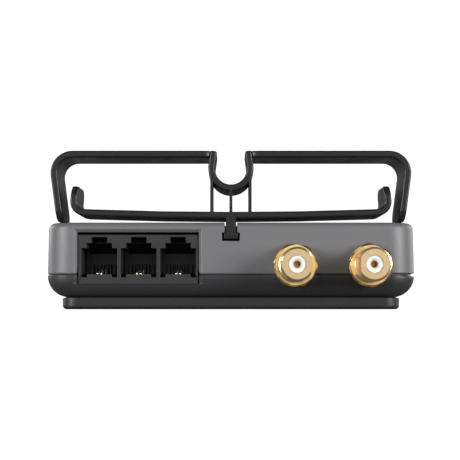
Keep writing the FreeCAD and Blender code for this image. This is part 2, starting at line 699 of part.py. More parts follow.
def build_coax_contact(x):
    """Tubular centre contact with a tail down to the board."""
    front = COAX_TIP_Y + INSULATOR_INSET + DISH_DEPTH
    back = COAX_BLOCK_BACK_Y + 2 * CONTACT_TAIL
    tube = rod_y(x, COAX_Z, CONTACT_R, (front, back))
    tail = box((x - CONTACT_TAIL / 2, x + CONTACT_TAIL / 2), (back - CONTACT_TAIL, back),
               (BOARD_TOP_Z, COAX_Z))
    bore = rod_y(x, COAX_Z, CONTACT_BORE_R, (front - 1, front + CONTACT_BORE_DEPTH))
    return joined([tube, tail]).cut(bore)


def build_coax_washer(x):
    """Flat washer between a nut and the housing."""
    ys = (-HALF_DEPTH - WASHER_THICKNESS, -HALF_DEPTH)
    return rod_y(x, COAX_Z, WASHER_R, ys).cut(rod_y(x, COAX_Z, NUT_BORE_R, (ys[0] - 1, ys[1] + 1)))


def build_coax_nut(x, turn):
    """Hex nut with chamfered corners, turned about its axis by an angle in degrees."""
    back = -HALF_DEPTH - WASHER_THICKNESS
    radius = NUT_ACROSS_FLATS / 2 / math.cos(math.pi / 6)
    corners = []
    for i in range(6):
        angle = math.radians(turn + 60 * i)
        corners.append(V(radius * math.cos(angle), 0, radius * math.sin(angle)))
    nut = prism(corners, V(x, back, COAX_Z), V(0, -NUT_THICKNESS, 0))
    rise = NUT_CHAMFER_CONE_R - (radius - 0.6)
    cone = Part.makeCone(NUT_CHAMFER_CONE_R, NUT_CHAMFER_CONE_R + NUT_THICKNESS + rise,
                         NUT_THICKNESS + rise, V(x, back - NUT_THICKNESS, COAX_Z), Y_AXIS)
    round_off = rod_y(x, COAX_Z, NUT_CORNER_R, (back - NUT_THICKNESS, back))
    return nut.common(cone).common(round_off).cut(rod_y(x, COAX_Z, NUT_BORE_R, (back - 5, back + 1)))


def build_coax_shield():
    """Tin cover over the radio parts behind the two coax connectors."""
    cover = box(COAX_SHIELD_X, COAX_SHIELD_Y, (BOARD_TOP_Z, COAX_SHIELD_TOP_Z))
    t = SHIELD_THICKNESS
    return cover.cut(box((COAX_SHIELD_X[0] + t, COAX_SHIELD_X[1] - t),
                         (COAX_SHIELD_Y[0] + t, COAX_SHIELD_Y[1] - t),
                         (BOARD_TOP_Z - 1, COAX_SHIELD_TOP_Z - t)))


def path_segments(points, radii):
    """Lines and tangent arcs through points in the XZ plane, with a radius at each inner point."""
    segments = []
    here = points[0]
    for index in range(1, len(points) - 1):
        before = (points[index - 1] - points[index]).normalize()
        after = (points[index + 1] - points[index]).normalize()
        half = before.getAngle(after) / 2
        reach = radii[index - 1] / math.tan(half)
        start = points[index] + before * reach
        end = points[index] + after * reach
        middle = (before + after).normalize()
        centre = points[index] + middle * (radii[index - 1] / math.sin(half))
        if (start - here).Length > TOLERANCE:
            segments.append(("line", here, start))
        segments.append(("arc", start, centre - middle * radii[index - 1], end, centre))
        here = end
    segments.append(("line", here, points[-1]))
    return segments


def side_edge(segment, offset):
    """One segment's edge, moved sideways by offset to its left."""
    if segment[0] == "line":
        along = (segment[2] - segment[1]).normalize()
        left = V(-along.z, 0, along.x) * offset
        return [segment[1] + left, segment[2] + left]
    start, middle, end, centre = segment[1:]
    turning_left = (middle - start).cross(end - middle).y < 0
    radius = (start - centre).Length
    scale = (radius - offset) / radius if turning_left else (radius + offset) / radius
    return [centre + (p - centre) * scale for p in (start, middle, end)]


def make_edge(points):
    """Line through two points or arc through three."""
    if len(points) == 2:
        return Part.LineSegment(*points).toShape()
    return Part.Arc(*points).toShape()


def ribbon(points, radii, thickness):
    """Strip of constant thickness along a path, with rounded ends, pushed along the guide's depth."""
    segments = path_segments(points, radii)
    half = thickness / 2
    left = [side_edge(s, half) for s in segments]
    right = [side_edge(s, -half) for s in segments]
    edges = [make_edge(p) for p in left]
    last = (segments[-1][2] - segments[-1][1]).normalize()
    first = (segments[0][2] - segments[0][1]).normalize()
    edges.append(make_edge([left[-1][-1], points[-1] + last * half, right[-1][-1]]))
    edges += [make_edge(p[::-1]) for p in reversed(right)]
    edges.append(make_edge([right[0][0], points[0] - first * half, left[0][0]]))
    face = Part.Face(Part.Wire(Part.sortEdges(edges)[0]))
    return face.extrude(V(0, GUIDE_DEPTH, 0))


def guide_points(pairs):
    """Points in the XZ plane at the guide's front."""
    return [V(x, GUIDE_FRONT_Y, z) for x, z in pairs]


def build_cable_guide():
    """Cable guide: frame, hooks, clip, ribs and the stem and foot that run in the T-slot."""
    ys = (GUIDE_FRONT_Y, GUIDE_FRONT_Y + GUIDE_DEPTH)
    strips = []
    for side in (-1, 1):
        frame = [(side * ARM_TIP[0], ARM_TIP[1]), (side * ARM_CORNER_X, GUIDE_TOP_Z),
                 (side * (CLIP_R + CLIP_WALL / 2), GUIDE_TOP_Z)]
        strips.append(ribbon(guide_points(frame), [ARM_CORNER_R], GUIDE_BAR))
    hooks = [(-HOOK_TIP[0], HOOK_TIP[1]), (-HOOK_CORNER[0], HOOK_CORNER[1]), (0, BOW_MIDDLE_Z),
             HOOK_CORNER, HOOK_TIP]
    strips.append(ribbon(guide_points(hooks), [HOOK_CORNER_R, BOW_R, HOOK_CORNER_R], GUIDE_ARM))
    middle = CLIP_R + CLIP_WALL / 2
    lean = middle - CLIP_LEAN
    clip = [(-lean, GUIDE_TOP_Z), (-middle, CLIP_LEAN_Z), (-middle, CLIP_Z - middle),
            (middle, CLIP_Z - middle), (middle, CLIP_LEAN_Z), (lean, GUIDE_TOP_Z)]
    strips.append(ribbon(guide_points(clip), [CLIP_LEAN_R, middle, middle, CLIP_LEAN_R], CLIP_WALL))
    for x, width, top in ((-SIDE_RIB_X, SIDE_RIB_THICKNESS, CLIP_Z - CLIP_WALL),
                          (0.0, MIDDLE_RIB_THICKNESS, CLIP_Z - middle),
                          (SIDE_RIB_X, SIDE_RIB_THICKNESS, CLIP_Z - CLIP_WALL)):
        strips.append(box((x - width / 2, x + width / 2), ys, (RIB_FOOT_Z, top)))
    strips.append(box((-STEM_HALF, STEM_HALF), ys, (FOOT_Z[0], RIB_FOOT_Z)))
    strips.append(box((-FOOT_HALF, FOOT_HALF), ys, FOOT_Z))
    return joined(strips)


def network_centres():
    """Centre x of the two network jacks."""
    return (NETWORK_X - NETWORK_PITCH / 2, NETWORK_X + NETWORK_PITCH / 2)


def build_network_jack_block():
    """Block of two network jacks."""
    block = box((NETWORK_X - NETWORK_HALF, NETWORK_X + NETWORK_HALF), (NETWORK_BACK_Y, NETWORK_FRONT_Y),
                (BOARD_TOP_Z, NETWORK_TOP_Z))
    ys = (NETWORK_FRONT_Y - NETWORK_CAVITY_DEPTH, NETWORK_FRONT_Y + 1)
    cuts = []
    for x in network_centres():
        cuts.append(box((x - NETWORK_CAVITY_HALF, x + NETWORK_CAVITY_HALF), ys, NETWORK_CAVITY_Z))
        cuts.append(box((x - NETWORK_LATCH_HALF, x + NETWORK_LATCH_HALF), ys,
                        (NETWORK_CAVITY_Z[1] - 1, NETWORK_LATCH_TOP_Z)))
    return block.cut(cuts)


def build_network_jack_shield():
    """Thin metal shield round the network jack block."""
    t = SHIELD_THICKNESS
    xs = (NETWORK_X - NETWORK_HALF, NETWORK_X + NETWORK_HALF)
    outer = box((xs[0] - t, xs[1] + t), (NETWORK_BACK_Y - t, NETWORK_FRONT_Y),
                (BOARD_TOP_Z, NETWORK_TOP_Z + t))
    return outer.cut(box(xs, (NETWORK_BACK_Y, NETWORK_FRONT_Y + 1), (BOARD_TOP_Z - 1, NETWORK_TOP_Z)))


def build_network_contacts():
    """Eight contact wires in each network jack."""
    wires = []
    back = NETWORK_FRONT_Y - NETWORK_CAVITY_DEPTH
    for x in network_centres():
        for i in range(NETWORK_CONTACT_COUNT):
            at = x + (i - (NETWORK_CONTACT_COUNT - 1) / 2) * NETWORK_CONTACT_PITCH
            front_end = V(at, NETWORK_FRONT_Y - NETWORK_WIRE_INSET, NETWORK_CAVITY_Z[0] + 0.3)
            back_end = V(at, back + 0.3, NETWORK_CAVITY_Z[0] + NETWORK_WIRE_RISE)
            wires.append(bent_wire([front_end, back_end], NETWORK_WIRE_R))
    return Part.makeCompound(wires)


def fibre_axis_z():
    """Height of the fibre's axis."""
    return (FIBRE_MOUTH_Z[0] + FIBRE_MOUTH_Z[1]) / 2


def build_optical_module():
    """Optical transceiver with its metal barrel behind the fibre adapter."""
    back = FIBRE_BACK_Y - MODULE_NOSE_LENGTH
    body = box((FIBRE_X - MODULE_HALF_WIDTH, FIBRE_X + MODULE_HALF_WIDTH), (MODULE_START_Y, back),
               (BOARD_TOP_Z, MODULE_TOP_Z))
    nose = rod_y(FIBRE_X, fibre_axis_z(), MODULE_NOSE_R, (back - 1, FIBRE_BACK_Y))
    return body.fuse(nose).removeSplitter()


def build_fibre_adapter():
    """Fibre adapter with its mouth, key slot, bore and feet."""
    body = box((FIBRE_X - FIBRE_HALF_WIDTH, FIBRE_X + FIBRE_HALF_WIDTH), (FIBRE_BACK_Y, FIBRE_FRONT_Y),
               FIBRE_Z)
    feet = box((FIBRE_X - FIBRE_FOOT_HALF, FIBRE_X + FIBRE_FOOT_HALF),
               (FIBRE_BACK_Y + 1, FIBRE_BACK_Y + 1 + FIBRE_FOOT_LENGTH), (BOARD_TOP_Z, FIBRE_Z[0]))
    inner_y = FIBRE_FRONT_Y - FIBRE_MOUTH_DEPTH
    mouth = box((FIBRE_X - FIBRE_MOUTH_HALF, FIBRE_X + FIBRE_MOUTH_HALF), (inner_y, FIBRE_FRONT_Y + 1),
                FIBRE_MOUTH_Z)
    key = box((FIBRE_X - FIBRE_KEY_HALF, FIBRE_X + FIBRE_KEY_HALF),
              (FIBRE_FRONT_Y - FIBRE_KEY_LENGTH, FIBRE_FRONT_Y + 1),
              (FIBRE_MOUTH_Z[1] - 0.2, FIBRE_Z[1] + 0.1))
    bore = rod_y(FIBRE_X, fibre_axis_z(), FIBRE_BORE_R, (FIBRE_BACK_Y - 1, inner_y + 1))
    return joined([body, feet]).cut([mouth, key, bore])


def build_fibre_sleeve():
    """Ceramic sleeve inside the fibre adapter."""
    ys = (FIBRE_BACK_Y + SLEEVE_START, FIBRE_FRONT_Y - FIBRE_MOUTH_DEPTH + SLEEVE_REACH)
    sleeve = rod_y(FIBRE_X, fibre_axis_z(), SLEEVE_R, ys)
    return sleeve.cut(rod_y(FIBRE_X, fibre_axis_z(), SLEEVE_BORE_R, (ys[0] - 1, ys[1] + 1)))


def build_power_jack():
    """Power socket with a round nose in the end wall."""
    front = HALF_DEPTH - WALL - POWER_FRONT_GAP
    block = box((POWER_X - POWER_BLOCK_HALF, POWER_X + POWER_BLOCK_HALF), (POWER_BACK_Y, front),
                (BOARD_TOP_Z, POWER_Z + POWER_BLOCK_HALF))
    nose = rod_y(POWER_X, POWER_Z, POWER_BORE_R + POWER_NOSE_WALL,
                 (front - 1, HALF_DEPTH - POWER_NOSE_INSET))
    bore = rod_y(POWER_X, POWER_Z, POWER_BORE_R, (POWER_BACK_Y + POWER_FLOOR, HALF_DEPTH + 1))
    return joined([block, nose]).cut(bore)


def build_power_jack_pin():
    """Centre pin of the power socket, with a rounded tip."""
    tip_y = HALF_DEPTH - POWER_PIN_INSET
    pin = rod_y(POWER_X, POWER_Z, POWER_PIN_R, (POWER_BACK_Y + POWER_FLOOR, tip_y))
    return pin.makeFillet(POWER_PIN_TIP_R,
                          [e for e in pin.Edges if abs(e.BoundBox.YMin - tip_y) < TOLERANCE])


def build_power_switch():
    """Body of the power switch, bored for the stem of its button."""
    body = box((BUTTON_X - SWITCH_HALF, BUTTON_X + SWITCH_HALF), SWITCH_Y,
               (BOARD_TOP_Z, BUTTON_Z + SWITCH_HALF))
    return body.cut(rod_y(BUTTON_X, BUTTON_Z, SWITCH_BORE_R, (SWITCH_BORE_Y, SWITCH_Y[1] + 1)))


def build_power_button():
    """Power button: cap, flange behind the wall and stem."""
    cap = rod_y(BUTTON_X, BUTTON_Z, BUTTON_R, BUTTON_Y)
    cap = cap.makeFillet(BUTTON_EDGE_R,
                         [e for e in cap.Edges if abs(e.BoundBox.YMin - BUTTON_Y[1]) < TOLERANCE])
    flange = rod_y(BUTTON_X, BUTTON_Z, BUTTON_FLANGE_R, (BUTTON_Y[0], BUTTON_Y[0] + BUTTON_FLANGE_THICKNESS))
    stem = rod_y(BUTTON_X, BUTTON_Z, BUTTON_STEM_R, (BUTTON_STEM_END_Y, BUTTON_Y[0] + 0.5))
    return joined([cap, flange, stem])


def build_reset_switch():
    """Body of the reset switch, bored for the end of its button."""
    body = box((RESET_X - RESET_SWITCH_HALF, RESET_X + RESET_SWITCH_HALF), RESET_SWITCH_Y,
               (BOARD_TOP_Z, RESET_Z + RESET_SWITCH_RISE))
    return body.cut(rod_y(RESET_X, RESET_Z, RESET_SWITCH_BORE_R,
                          (RESET_SWITCH_BORE_Y, RESET_SWITCH_Y[1] + 1)))


def build_reset_button():
    """Reset button: a thin rod with a flange behind the wall."""
    rod = rod_y(RESET_X, RESET_Z, RESET_ROD_R, RESET_ROD_Y)
    return joined([rod, rod_y(RESET_X, RESET_Z, RESET_FLANGE_R, RESET_FLANGE_Y)])


def build_light_pipe():
    """One clear moulding: a bar under the top, a lens and a leg for each indicator."""
    xs = (lens_centres()[0] - PIPE_BAR_END, lens_centres()[-1] + PIPE_BAR_END)
    under = TOP_Z - WALL
    pieces = [box(xs, (LENS_Y - PIPE_BAR_HALF, LENS_Y + PIPE_BAR_HALF), (under - PIPE_BAR_HEIGHT, under))]
    leg_ys = (LENS_Y - PIPE_LEG_HALF, LENS_Y + PIPE_LEG_HALF)
    lens_ys = (LENS_Y - LENS_HALF[1], LENS_Y + LENS_HALF[1])
    for x in lens_centres():
        pieces.append(box((x - LENS_HALF[0], x + LENS_HALF[0]), lens_ys, (under - 0.5, TOP_Z + LENS_PROUD)))
        pieces.append(box((x - PIPE_LEG_HALF, x + PIPE_LEG_HALF), leg_ys,
                          (BOARD_TOP_Z + PIPE_LEG_GAP, under - 1.0)))
    return joined(pieces)


def chip(xs, ys, height):
    """Flat component that stands on the board."""
    return box(xs, ys, (BOARD_TOP_Z, BOARD_TOP_Z + height))


def build_indicator_lights():
    """One small lamp on the board under each leg of the light pipe."""
    ys = (LENS_Y - LAMP_HALF[1], LENS_Y + LAMP_HALF[1])
    return Part.makeCompound([chip((x - LAMP_HALF[0], x + LAMP_HALF[0]), ys, LAMP_HEIGHT)
                              for x in lens_centres()])


def build_heat_sink():
    """Finned heat sink on the main processor."""
    bottom = BOARD_TOP_Z + SINK_BOTTOM
    pieces = [box(SINK_X, SINK_Y, (bottom, BOARD_TOP_Z + SINK_BASE_TOP))]
    pitch = (SINK_X[1] - SINK_X[0] - FIN_THICKNESS) / (FIN_COUNT - 1)
    for i in range(FIN_COUNT):
        x = SINK_X[0] + i * pitch
        pieces.append(box((x, x + FIN_THICKNESS), SINK_Y, (bottom, BOARD_TOP_Z + SINK_TOP)))
    return joined(pieces)


def build_capacitors():
    """The supply capacitors, with rounded tops."""
    top = BOARD_TOP_Z + CAN_HEIGHT
    cans = [rod_z(x, y, CAN_R, (BOARD_TOP_Z, top)) for x, y in CAN_PLACES]
    return Part.makeCompound([can.makeFillet(CAN_EDGE_R, edges_at(can, top)) for can in cans])


def build_power_coil():
    """Shielded coil of the power supply."""
    base = chip((COIL_X - COIL_BASE_HALF, COIL_X + COIL_BASE_HALF),
                (COIL_Y - COIL_BASE_HALF, COIL_Y + COIL_BASE_HALF), COIL_BASE_HEIGHT)
    top = BOARD_TOP_Z + COIL_HEIGHT
    coil = rod_z(COIL_X, COIL_Y, COIL_R, (BOARD_TOP_Z + COIL_BASE_HEIGHT, top))
    return joined([base, coil, rod_z(COIL_X, COIL_Y, COIL_CAP_R, (top, BOARD_TOP_Z + COIL_CAP_HEIGHT))])


def build_chips():
    """The flat packages and boxed parts on the board."""
    NODES["main_processor"] = chip(*PROCESSOR)
    NODES["memory_chip"] = chip(*MEMORY)
    NODES["line_interface_chips"] = Part.makeCompound(
        [chip((x - LINE_CHIP_HALF, x + LINE_CHIP_HALF), LINE_CHIP_Y, LINE_CHIP_HEIGHT)
         for x in phone_centres()])
    NODES["network_transformers"] = Part.makeCompound(
        [chip((x - TRANSFORMER_HALF, x + TRANSFORMER_HALF), TRANSFORMER_Y, TRANSFORMER_HEIGHT)
         for x in network_centres()])


def build_all():
    """Builds every node."""
    NODES["upper_shell"] = build_upper_shell()
    NODES["lower_shell"] = build_lower_shell()
    NODES["wall_plate"] = build_wall_plate()
    NODES["housing_screws"] = build_housing_screws()
    NODES["main_board"] = build_main_board()
    NODES["phone_jack_block"] = build_phone_jack_block()
    NODES["phone_contacts"] = build_phone_contacts()
    for name, x, flat_side, turn in (("left", COAX_LEFT_X, 1, -6.0), ("right", COAX_RIGHT_X, -1, 38.0)):
        NODES[name + "_coax_barrel"] = build_coax_barrel(x, flat_side)
        NODES[name + "_coax_insulator"] = build_coax_insulator(x)
        NODES[name + "_coax_contact"] = build_coax_contact(x)
        NODES[name + "_coax_washer"] = build_coax_washer(x)
        NODES[name + "_coax_nut"] = build_coax_nut(x, turn)
    NODES["coax_shield_can"] = build_coax_shield()
    NODES["cable_guide"] = build_cable_guide()
    NODES["network_jack_block"] = build_network_jack_block()
    NODES["network_jack_shield"] = build_network_jack_shield()
    NODES["network_contacts"] = build_network_contacts()
    NODES["optical_module"] = build_optical_module()
    NODES["fibre_adapter"] = build_fibre_adapter()
    NODES["fibre_sleeve"] = build_fibre_sleeve()
    NODES["power_jack"] = build_power_jack()
    NODES["power_jack_pin"] = build_power_jack_pin()
    NODES["power_switch"] = build_power_switch()
    NODES["power_button"] = build_power_button()
    NODES["reset_switch"] = build_reset_switch()
    NODES["reset_button"] = build_reset_button()
    NODES["light_pipe"] = build_light_pipe()
    NODES["indicator_lights"] = build_indicator_lights()
    NODES["heat_sink"] = build_heat_sink()
    NODES["supply_capacitors"] = build_capacitors()
    NODES["power_coil"] = build_power_coil()
    build_chips()


def write_parts():
    """Writes one STEP file for each node."""
    os.makedirs("parts", exist_ok=True)
    for name, shape in NODES.items():
        if not shape.isValid():
            raise ValueError(name + " is not a valid shape")
        shape.exportStep("parts/" + name + ".step")
        print(name, len(shape.Solids), round(shape.Volume, 2))


build_all()
write_parts()
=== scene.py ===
"""Looks of a network terminal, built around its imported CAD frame.

Sizes in the classes are in millimetres, and every mesh is made in metres.
"""
import logging
import math
from dataclasses import dataclass
from enum import Enum
from typing import Callable, Optional, Sequence

import bpy
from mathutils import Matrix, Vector


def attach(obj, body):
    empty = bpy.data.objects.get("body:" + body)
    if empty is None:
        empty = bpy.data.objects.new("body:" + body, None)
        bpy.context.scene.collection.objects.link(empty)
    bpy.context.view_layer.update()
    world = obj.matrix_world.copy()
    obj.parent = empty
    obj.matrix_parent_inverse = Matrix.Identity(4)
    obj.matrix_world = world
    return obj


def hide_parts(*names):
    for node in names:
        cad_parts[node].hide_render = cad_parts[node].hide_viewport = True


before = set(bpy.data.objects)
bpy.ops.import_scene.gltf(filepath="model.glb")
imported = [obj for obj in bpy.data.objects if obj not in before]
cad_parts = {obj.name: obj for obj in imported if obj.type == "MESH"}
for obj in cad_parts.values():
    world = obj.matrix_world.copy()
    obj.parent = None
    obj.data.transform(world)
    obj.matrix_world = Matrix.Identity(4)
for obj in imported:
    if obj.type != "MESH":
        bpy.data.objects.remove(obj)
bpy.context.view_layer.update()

# One millimetre in metres, and the distance in millimetres at which two places count as one.
MM = 0.001
NEAR = 0.01
log = logging.getLogger("terminal")

Point = tuple[float, float, float]
Spots = tuple[tuple[float, float], ...]
Piece = bpy.types.Object
EdgeTest = Callable[[Vector, Vector], bool]


class Axis(Enum):
    """Direction that a round piece points along, as the turn that takes it there from Z."""

    X = (0.0, math.pi / 2, 0.0)
    Y = (math.pi / 2, 0.0, 0.0)
    Z = (0.0, 0.0, 0.0)


class Side(Enum):
    """The two sides of the terminal, seen from its socket end."""

    LEFT = -1
    RIGHT = 1


# ---------------------------------------------------------------- bench work


def focus(piece: Piece) -> None:
    """Selects one piece alone and makes it the active one.

    Args:
        piece: The piece.
    """
    bpy.ops.object.select_all(action="DESELECT")
    piece.select_set(True)
    bpy.context.view_layer.objects.active = piece


def place(point: Sequence[float]) -> Vector:
    """Millimetres to metres."""
    return Vector(point) * MM


def settle() -> Piece:
    """Puts the active piece's place and size into its mesh."""
    bpy.ops.object.transform_apply(location=True, rotation=True, scale=True)
    return bpy.context.object


def add_block(name: str, low: Sequence[float], high: Sequence[float]) -> Piece:
    """Adds a block between two corners.

    Args:
        name: The piece's name.
        low: Lowest corner, in millimetres.
        high: Highest corner, in millimetres.

    Returns:
        The block.
    """
    bpy.ops.object.select_all(action="DESELECT")
    middle = (Vector(low) + Vector(high)) / 2
    size = Vector(high) - Vector(low)
    bpy.ops.mesh.primitive_cube_add(size=1.0, location=place(middle), scale=place(size))
    block = settle()
    block.name = name
    return block


def add_rod(name: str, start: Sequence[float], radius: float, length: float, axis: Axis = Axis.Y,
            sides: int = 64, tip_radius: Optional[float] = None) -> Piece:
    """Adds a round bar, or a cone if it has a tip radius.

    Args:
        name: The piece's name.
        start: Middle of the low end, in millimetres.
        radius: Radius at the low end, in millimetres.
        length: Length along the axis, in millimetres.
        axis: Direction of the bar.
        sides: Number of sides of the round.
        tip_radius: Radius at the high end, or None for the same.

    Returns:
        The bar.
    """
    bpy.ops.object.select_all(action="DESELECT")
    along = {Axis.X: Vector((1, 0, 0)), Axis.Y: Vector((0, 1, 0)), Axis.Z: Vector((0, 0, 1))}[axis]
    middle = place(Vector(start) + along * (length / 2))
    tip = radius if tip_radius is None else tip_radius
    low, high = (tip, radius) if axis is Axis.Y else (radius, tip)
    bpy.ops.mesh.primitive_cone_add(vertices=sides, radius1=low * MM, radius2=high * MM, depth=length * MM,
                                    location=middle, rotation=axis.value)
    rod = settle()
    rod.name = name
    return rod


def apply_modifier(piece: Piece, kind: str, **settings: object) -> None:
    """Adds a modifier with its settings and applies it.

    Args:
        piece: The piece to change.
        kind: The modifier's type.
        **settings: The modifier's own values.
    """
    focus(piece)
    bpy.ops.object.modifier_add(type=kind)
    modifier = piece.modifiers[-1]
    for key, value in settings.items():
        setattr(modifier, key, value)
    bpy.ops.object.modifier_apply(modifier=modifier.name)


def join(pieces: Sequence[Piece]) -> Piece:
    """Joins several pieces into the first.

    Args:
        pieces: The pieces.

    Returns:
        The joined piece.
    """
    focus(pieces[0])
    for other in pieces[1:]:
        other.select_set(True)
    if len(pieces) > 1:
        bpy.ops.object.join()
    return bpy.context.object


def combine(piece: Piece, tools: Sequence[Piece], operation: str) -> Piece:
    """Runs one boolean operation with several tools, then removes them.

    Args:
        piece: The piece to change.
        tools: Pieces that cut, join or trim it.
        operation: DIFFERENCE, UNION or INTERSECT.

    Returns:
        The changed piece.
    """
    tool = join(list(tools))
    apply_modifier(piece, "BOOLEAN", object=tool, operation=operation, solver="EXACT", use_self=False)
    bpy.data.objects.remove(tool)
    return piece


def cut(piece: Piece, *tools: Piece) -> Piece:
    """Takes the tools' shapes out of a piece."""
    return combine(piece, tools, "DIFFERENCE")


def weld(piece: Piece, *tools: Piece) -> Piece:
    """Makes one moulding of a piece and the tools."""
    return combine(piece, tools, "UNION")


def work_on_edges(piece: Piece, chosen: EdgeTest) -> None:
    """Opens a piece in edit mode with the chosen edges selected.

    Args:
        piece: The piece to open.
        chosen: Says from an edge's two ends, in millimetres, whether it is wanted.
    """
    focus(piece)
    mesh = piece.data
    for part in (mesh.vertices, mesh.edges, mesh.polygons):
        part.foreach_set("select", [False] * len(part))
    for edge in mesh.edges:
        first, second = (mesh.vertices[i].co / MM for i in edge.vertices)
        edge.select = bool(chosen(first, second))
    bpy.context.tool_settings.mesh_select_mode = (False, True, False)
    bpy.ops.object.mode_set(mode="EDIT")


def round_edges(piece: Piece, chosen: EdgeTest, radius: float, segments: int) -> Piece:
    """Rounds the chosen edges in edit mode.

    Args:
        piece: The piece to change.
        chosen: Says from an edge's two ends, in millimetres, whether it is rounded.
        radius: Radius in millimetres.
        segments: Number of flats along the round.

    Returns:
        The changed piece.
    """
    work_on_edges(piece, chosen)
    bpy.ops.mesh.bevel(offset=radius * MM, segments=segments, affect="EDGES", clamp_overlap=False)
    bpy.ops.object.mode_set(mode="OBJECT")
    return piece


def upright(first: Vector, second: Vector) -> bool:
    """Is this edge vertical?"""
    return abs(first.x - second.x) < 0.5 and abs(first.y - second.y) < NEAR and abs(first.z - second.z) > 0.1


def level_at(height: float) -> EdgeTest:
    """Test for edges that lie at one height."""
    return lambda first, second: abs(first.z - height) < NEAR and abs(second.z - height) < NEAR


def tidy_mesh(piece: Piece) -> None:
    """Merges doubled points and dissolves needless edges of flat faces.

    Args:
        piece: The piece to change.
    """
    focus(piece)
    bpy.ops.object.mode_set(mode="EDIT")
    bpy.ops.mesh.select_all(action="SELECT")
    bpy.ops.mesh.remove_doubles(threshold=0.004 * MM)
    bpy.ops.mesh.dissolve_limited(angle_limit=math.radians(0.3))
    bpy.ops.object.mode_set(mode="OBJECT")


def soften(piece: Piece, width: float, segments: int = 2, angle: float = 35.0) -> Piece:
    """Gives every sharp edge the small round that a moulded or machined edge has.

    Args:
        piece: The piece to change.
        width: Width of the round in millimetres.
        segments: Number of flats along the round.
        angle: Edges sharper than this many degrees are rounded.

    Returns:
        The changed piece.
    """
    tidy_mesh(piece)
    apply_modifier(piece, "BEVEL", width=width * MM, segments=segments, limit_method="ANGLE",
                   angle_limit=math.radians(angle), use_clamp_overlap=False, miter_outer="MITER_ARC",
                   loop_slide=True)
    return smooth(piece)


def smooth(piece: Piece, angle: float = 40.0) -> Piece:
    """Shades a piece smooth up to an angle, with its flat faces kept flat.

    Args:
        piece: The piece to change.
        angle: Edges sharper than this many degrees stay sharp.

    Returns:
        The changed piece.
    """
    focus(piece)
    bpy.ops.object.shade_smooth_by_angle(angle=math.radians(angle))
    apply_modifier(piece, "WEIGHTED_NORMAL", keep_sharp=True, weight=100)
    return piece


def rounded_block(name: str, low: Sequence[float], high: Sequence[float], plan: float,
                  top: float = 0.0, bottom: float = 0.0, draft: float = 0.0) -> Piece:
    """Block with rounded upright edges, and rounded top and bottom edges where asked.

    Args:
        name: The piece's name.
        low: Lowest corner, in millimetres.
        high: Highest corner, in millimetres.
        plan: Radius of the upright edges.
        top: Radius of the top edges, or 0.
        bottom: Radius of the bottom edges, or 0.
        draft: How far each long side leans in at the top.

    Returns:
        The block.
    """
    block = add_block(name, low, high)
    if draft:
        work_on_edges(block, level_at(high[2]))
        bpy.ops.transform.resize(value=(1 - draft / high[0], 1.0, 1.0),
                                 center_override=place((0, 0, high[2])))
        bpy.ops.object.mode_set(mode="OBJECT")
    round_edges(block, upright, plan, 14)
    if top:
        round_edges(block, level_at(high[2]), top, 7)
    if bottom:
        round_edges(block, level_at(low[2]), bottom, 12)
    return block


def copy_piece(piece: Piece, name: str, shift: Sequence[float]) -> Piece:
    """Copies a piece with a mesh of its own.

    Args:
        piece: The piece to copy.
        name: The copy's name.
        shift: How far the copy moves, in millimetres.

    Returns:
        The copy.
    """
    focus(piece)
    bpy.ops.object.duplicate(linked=False)
    twin = bpy.context.object
    twin.name = name
    twin.data.name = name
    twin.location = place(shift)
    return settle()


def start_line(name: str, point: Sequence[float]) -> Piece:
    """Starts a drawn line with a single point, open in edit mode and selected.

    Args:
        name: The piece's name.
        point: The first point, in millimetres.

    Returns:
        The piece.
    """
    bpy.ops.object.select_all(action="DESELECT")
    bpy.ops.mesh.primitive_plane_add(size=MM, location=place(point))
    line = settle()
    line.name = name
    bpy.context.tool_settings.mesh_select_mode = (True, False, False)
    bpy.ops.object.mode_set(mode="EDIT")
    bpy.ops.mesh.select_all(action="SELECT")
    bpy.ops.mesh.merge(type="CENTER")
    return line


def draw(step: Sequence[float]) -> None:
    """Extrudes what is selected by a step in millimetres."""
    bpy.ops.mesh.extrude_region_move(TRANSFORM_OT_translate={"value": place(step)})


def path_line(name: str, points: Sequence[Point], radii: Sequence[float]) -> Piece:
    """Draws a line through points in the XZ plane, with a tangent arc at each inner point.

    Args:
        name: The piece's name.
        points: The path's corners, in millimetres, all at one y.
        radii: Radius at each inner corner.

    Returns:
        A piece with edges only, open in edit mode, with all of it selected.
    """
    line = start_line(name, points[0])
    here = Vector(points[0])
    for index in range(1, len(points) - 1):
        corner = Vector(points[index])
        before = (Vector(points[index - 1]) - corner).normalized()
        after = (Vector(points[index + 1]) - corner).normalized()
        half = before.angle(after) / 2
        reach = radii[index - 1] / math.tan(half)
        start = corner + before * reach
        if (start - here).length > 1e-3:
            draw(start - here)
        centre = corner + (before + after).normalized() * (radii[index - 1] / math.sin(half))
        turn = math.pi - 2 * half
        sense = 1.0 if before.cross(after).y < 0 else -1.0
        steps = max(4, round(math.degrees(turn) / 5))
        bpy.ops.mesh.spin(steps=steps, angle=-sense * turn, center=place(centre), axis=(0.0, 1.0, 0.0))
        here = corner + after * reach
    draw(Vector(points[-1]) - here)
    bpy.ops.mesh.select_all(action="SELECT")
    return line


